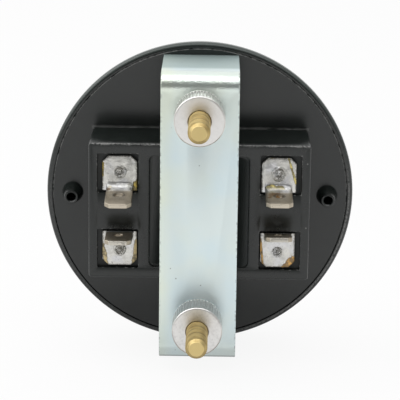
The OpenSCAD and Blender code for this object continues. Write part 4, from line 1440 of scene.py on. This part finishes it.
class METER_OT_stage(ModelOperator, bpy.types.Operator):
    """Set up the floor, the light and the camera"""

    bl_idname = "hour_meter.stage"
    bl_label = "Stage"

    FLOOR_SIZE = 8
    SENSOR_WIDTH = 36
    CLIP_START = 10 * MM
    # Place, width and height, and power in watts
    LAMPS = {
        "overhead": ((0.05, 0.17, 0.555), (1.5, 0.36), 2.05),
        "left": ((0.55, 0.05, 0.38), (0.8, 0.6), 1.6),
    }

    def floor(self, stage):
        """White floor that keeps the shadow, with a painted shadow near the foot of the meter that shows only
        in glossy reflections.
        """
        foot = (0, 0, CAD_BOX[0][2])
        clear_selection()
        bpy.ops.mesh.primitive_plane_add(size=self.FLOOR_SIZE, location=foot)
        floor = take("floor")
        finish = Finish("pale_floor", roughness=0.9)
        pale = tuple(stage.floor)
        finish.set(base_color=finish.mix(finish.noise(0.2), pale, tone(pale, 0.98)))
        seen = finish.node("ShaderNodeLightPath", out="Is Camera Ray")
        mirrored, through = seen.also("Is Glossy Ray"), seen.also("Is Transmission Ray")
        # Painted shadow round the foot of the meter, darkening the floor's glow in glossy reflections
        close = finish.distance(foot).rise(55 * MM, 22 * MM)
        glow = finish.mix(0.45 * (close * mirrored), (1, 1, 1), (0, 0, 0))
        glow = finish.node("ShaderNodeEmission", values={"Color": glow, "Strength": 1.0})
        lit = Wire(finish, finish.shader.outputs[0])
        values = {0: 0.9 * most(seen, mirrored, through), 1: lit, 2: glow}
        shown = finish.node("ShaderNodeMixShader", values=values)
        finish.feed(finish.tree.nodes["Material Output"].inputs["Surface"], shown)
        floor.data.materials.append(finish.material)

    def world(self):
        """Soft studio: bright above, beside and behind the meter, dim low in front of it."""
        world = bpy.data.worlds.new("studio")
        bpy.context.scene.world = world
        world.use_nodes = True
        sky = Nodes(world.node_tree)
        x, y, z = sky.split(sky.node("ShaderNodeTexCoord", out="Generated"))
        above = 0.16 + 0.72 * z.rise(0.68, 0.92)
        behind = 0.95 * y.rise(0.1, -0.4)
        beside = 0.5 * abs(x).rise(0.4, 0.85)
        seen = sky.node("ShaderNodeLightPath", out="Is Camera Ray")
        level = sky.node("ShaderNodeMix", values={0: seen, 2: most(above, behind, beside), 3: 1.0})
        background = sky.tree.nodes["Background"]
        sky.feed(background.inputs["Strength"], level)
        sky.feed(background.inputs["Color"], (1, 1, 1))

    def add(self, name, data):
        item = bpy.data.objects.new(name, data)
        bpy.context.scene.collection.objects.link(item)
        return item

    def lamp(self, name, at, size, watts):
        """Soft lamp that shines on the origin."""
        data = bpy.data.lights.new(name, "AREA")
        data.shape = "RECTANGLE"
        data.size, data.size_y = size
        data.energy = watts
        lamp = self.add(name, data)
        lamp.location = at
        lamp.rotation_euler = (-Vector(at)).to_track_quat("-Z", "Y").to_euler()

    def camera(self, stage):
        flat = stage.distance * math.cos(stage.elevation)
        height = stage.distance * math.sin(stage.elevation)
        eye = Vector((-flat * math.sin(stage.yaw), flat * math.cos(stage.yaw), height))
        aim = Vector((-stage.aim_right, 0, -stage.aim_down))
        back = (eye - aim).normalized()
        right = Vector((0, 0, 1)).cross(back).normalized()
        up = back.cross(right)
        cos, sin = math.cos(stage.roll), math.sin(stage.roll)
        right, up = right * cos + up * sin, up * cos - right * sin
        data = bpy.data.cameras.new("camera")
        data.lens = stage.lens
        data.sensor_width = self.SENSOR_WIDTH
        data.clip_start = self.CLIP_START
        camera = self.add("camera", data)
        turn = Matrix((right, up, back)).transposed()
        camera.matrix_world = Matrix.Translation(eye) @ turn.to_4x4()
        bpy.context.scene.camera = camera

    def model(self):
        stage = settings("stage")
        self.floor(stage)
        self.world()
        for name, lamp in self.LAMPS.items():
            self.lamp(name, *lamp)
        self.camera(stage)
        bpy.context.scene.view_settings.view_transform = "Standard"


PIECES = (
    METER_OT_bezel, METER_OT_rear_cover, METER_OT_terminals, METER_OT_contact_pins, METER_OT_bracket,
    METER_OT_studs, METER_OT_nuts, METER_OT_front, METER_OT_inside, METER_OT_stage,
)
GROUPS = {
    "case": CaseSizes, "terminals": TerminalSizes, "bracket": BracketSizes, "dial": DialSizes,
    "colours": FinishColours, "stage": StageSettings,
}


class METER_PT_panel(bpy.types.Panel):
    """Sidebar panel with one button for each step"""

    bl_idname = "METER_PT_panel"
    bl_label = "Hour Meter"
    bl_space_type = "VIEW_3D"
    bl_region_type = "UI"
    bl_category = "Hour Meter"

    def draw(self, context):
        for operator in PIECES:
            self.layout.operator(operator.bl_idname)


def register():
    for name, group in GROUPS.items():
        bpy.utils.register_class(group)
        setattr(bpy.types.Scene, "hour_meter_" + name, bpy.props.PointerProperty(type=group))
    for operator in PIECES:
        bpy.utils.register_class(operator)
    bpy.utils.register_class(METER_PT_panel)


def unregister():
    bpy.utils.unregister_class(METER_PT_panel)
    for operator in reversed(PIECES):
        bpy.utils.unregister_class(operator)
    for name, group in GROUPS.items():
        delattr(bpy.types.Scene, "hour_meter_" + name)
        bpy.utils.unregister_class(group)


def main():
    register()
    for operator in PIECES:
        group, name = operator.bl_idname.split(".")
        getattr(getattr(bpy.ops, group), name)()


if __name__ == "__main__":
    main()
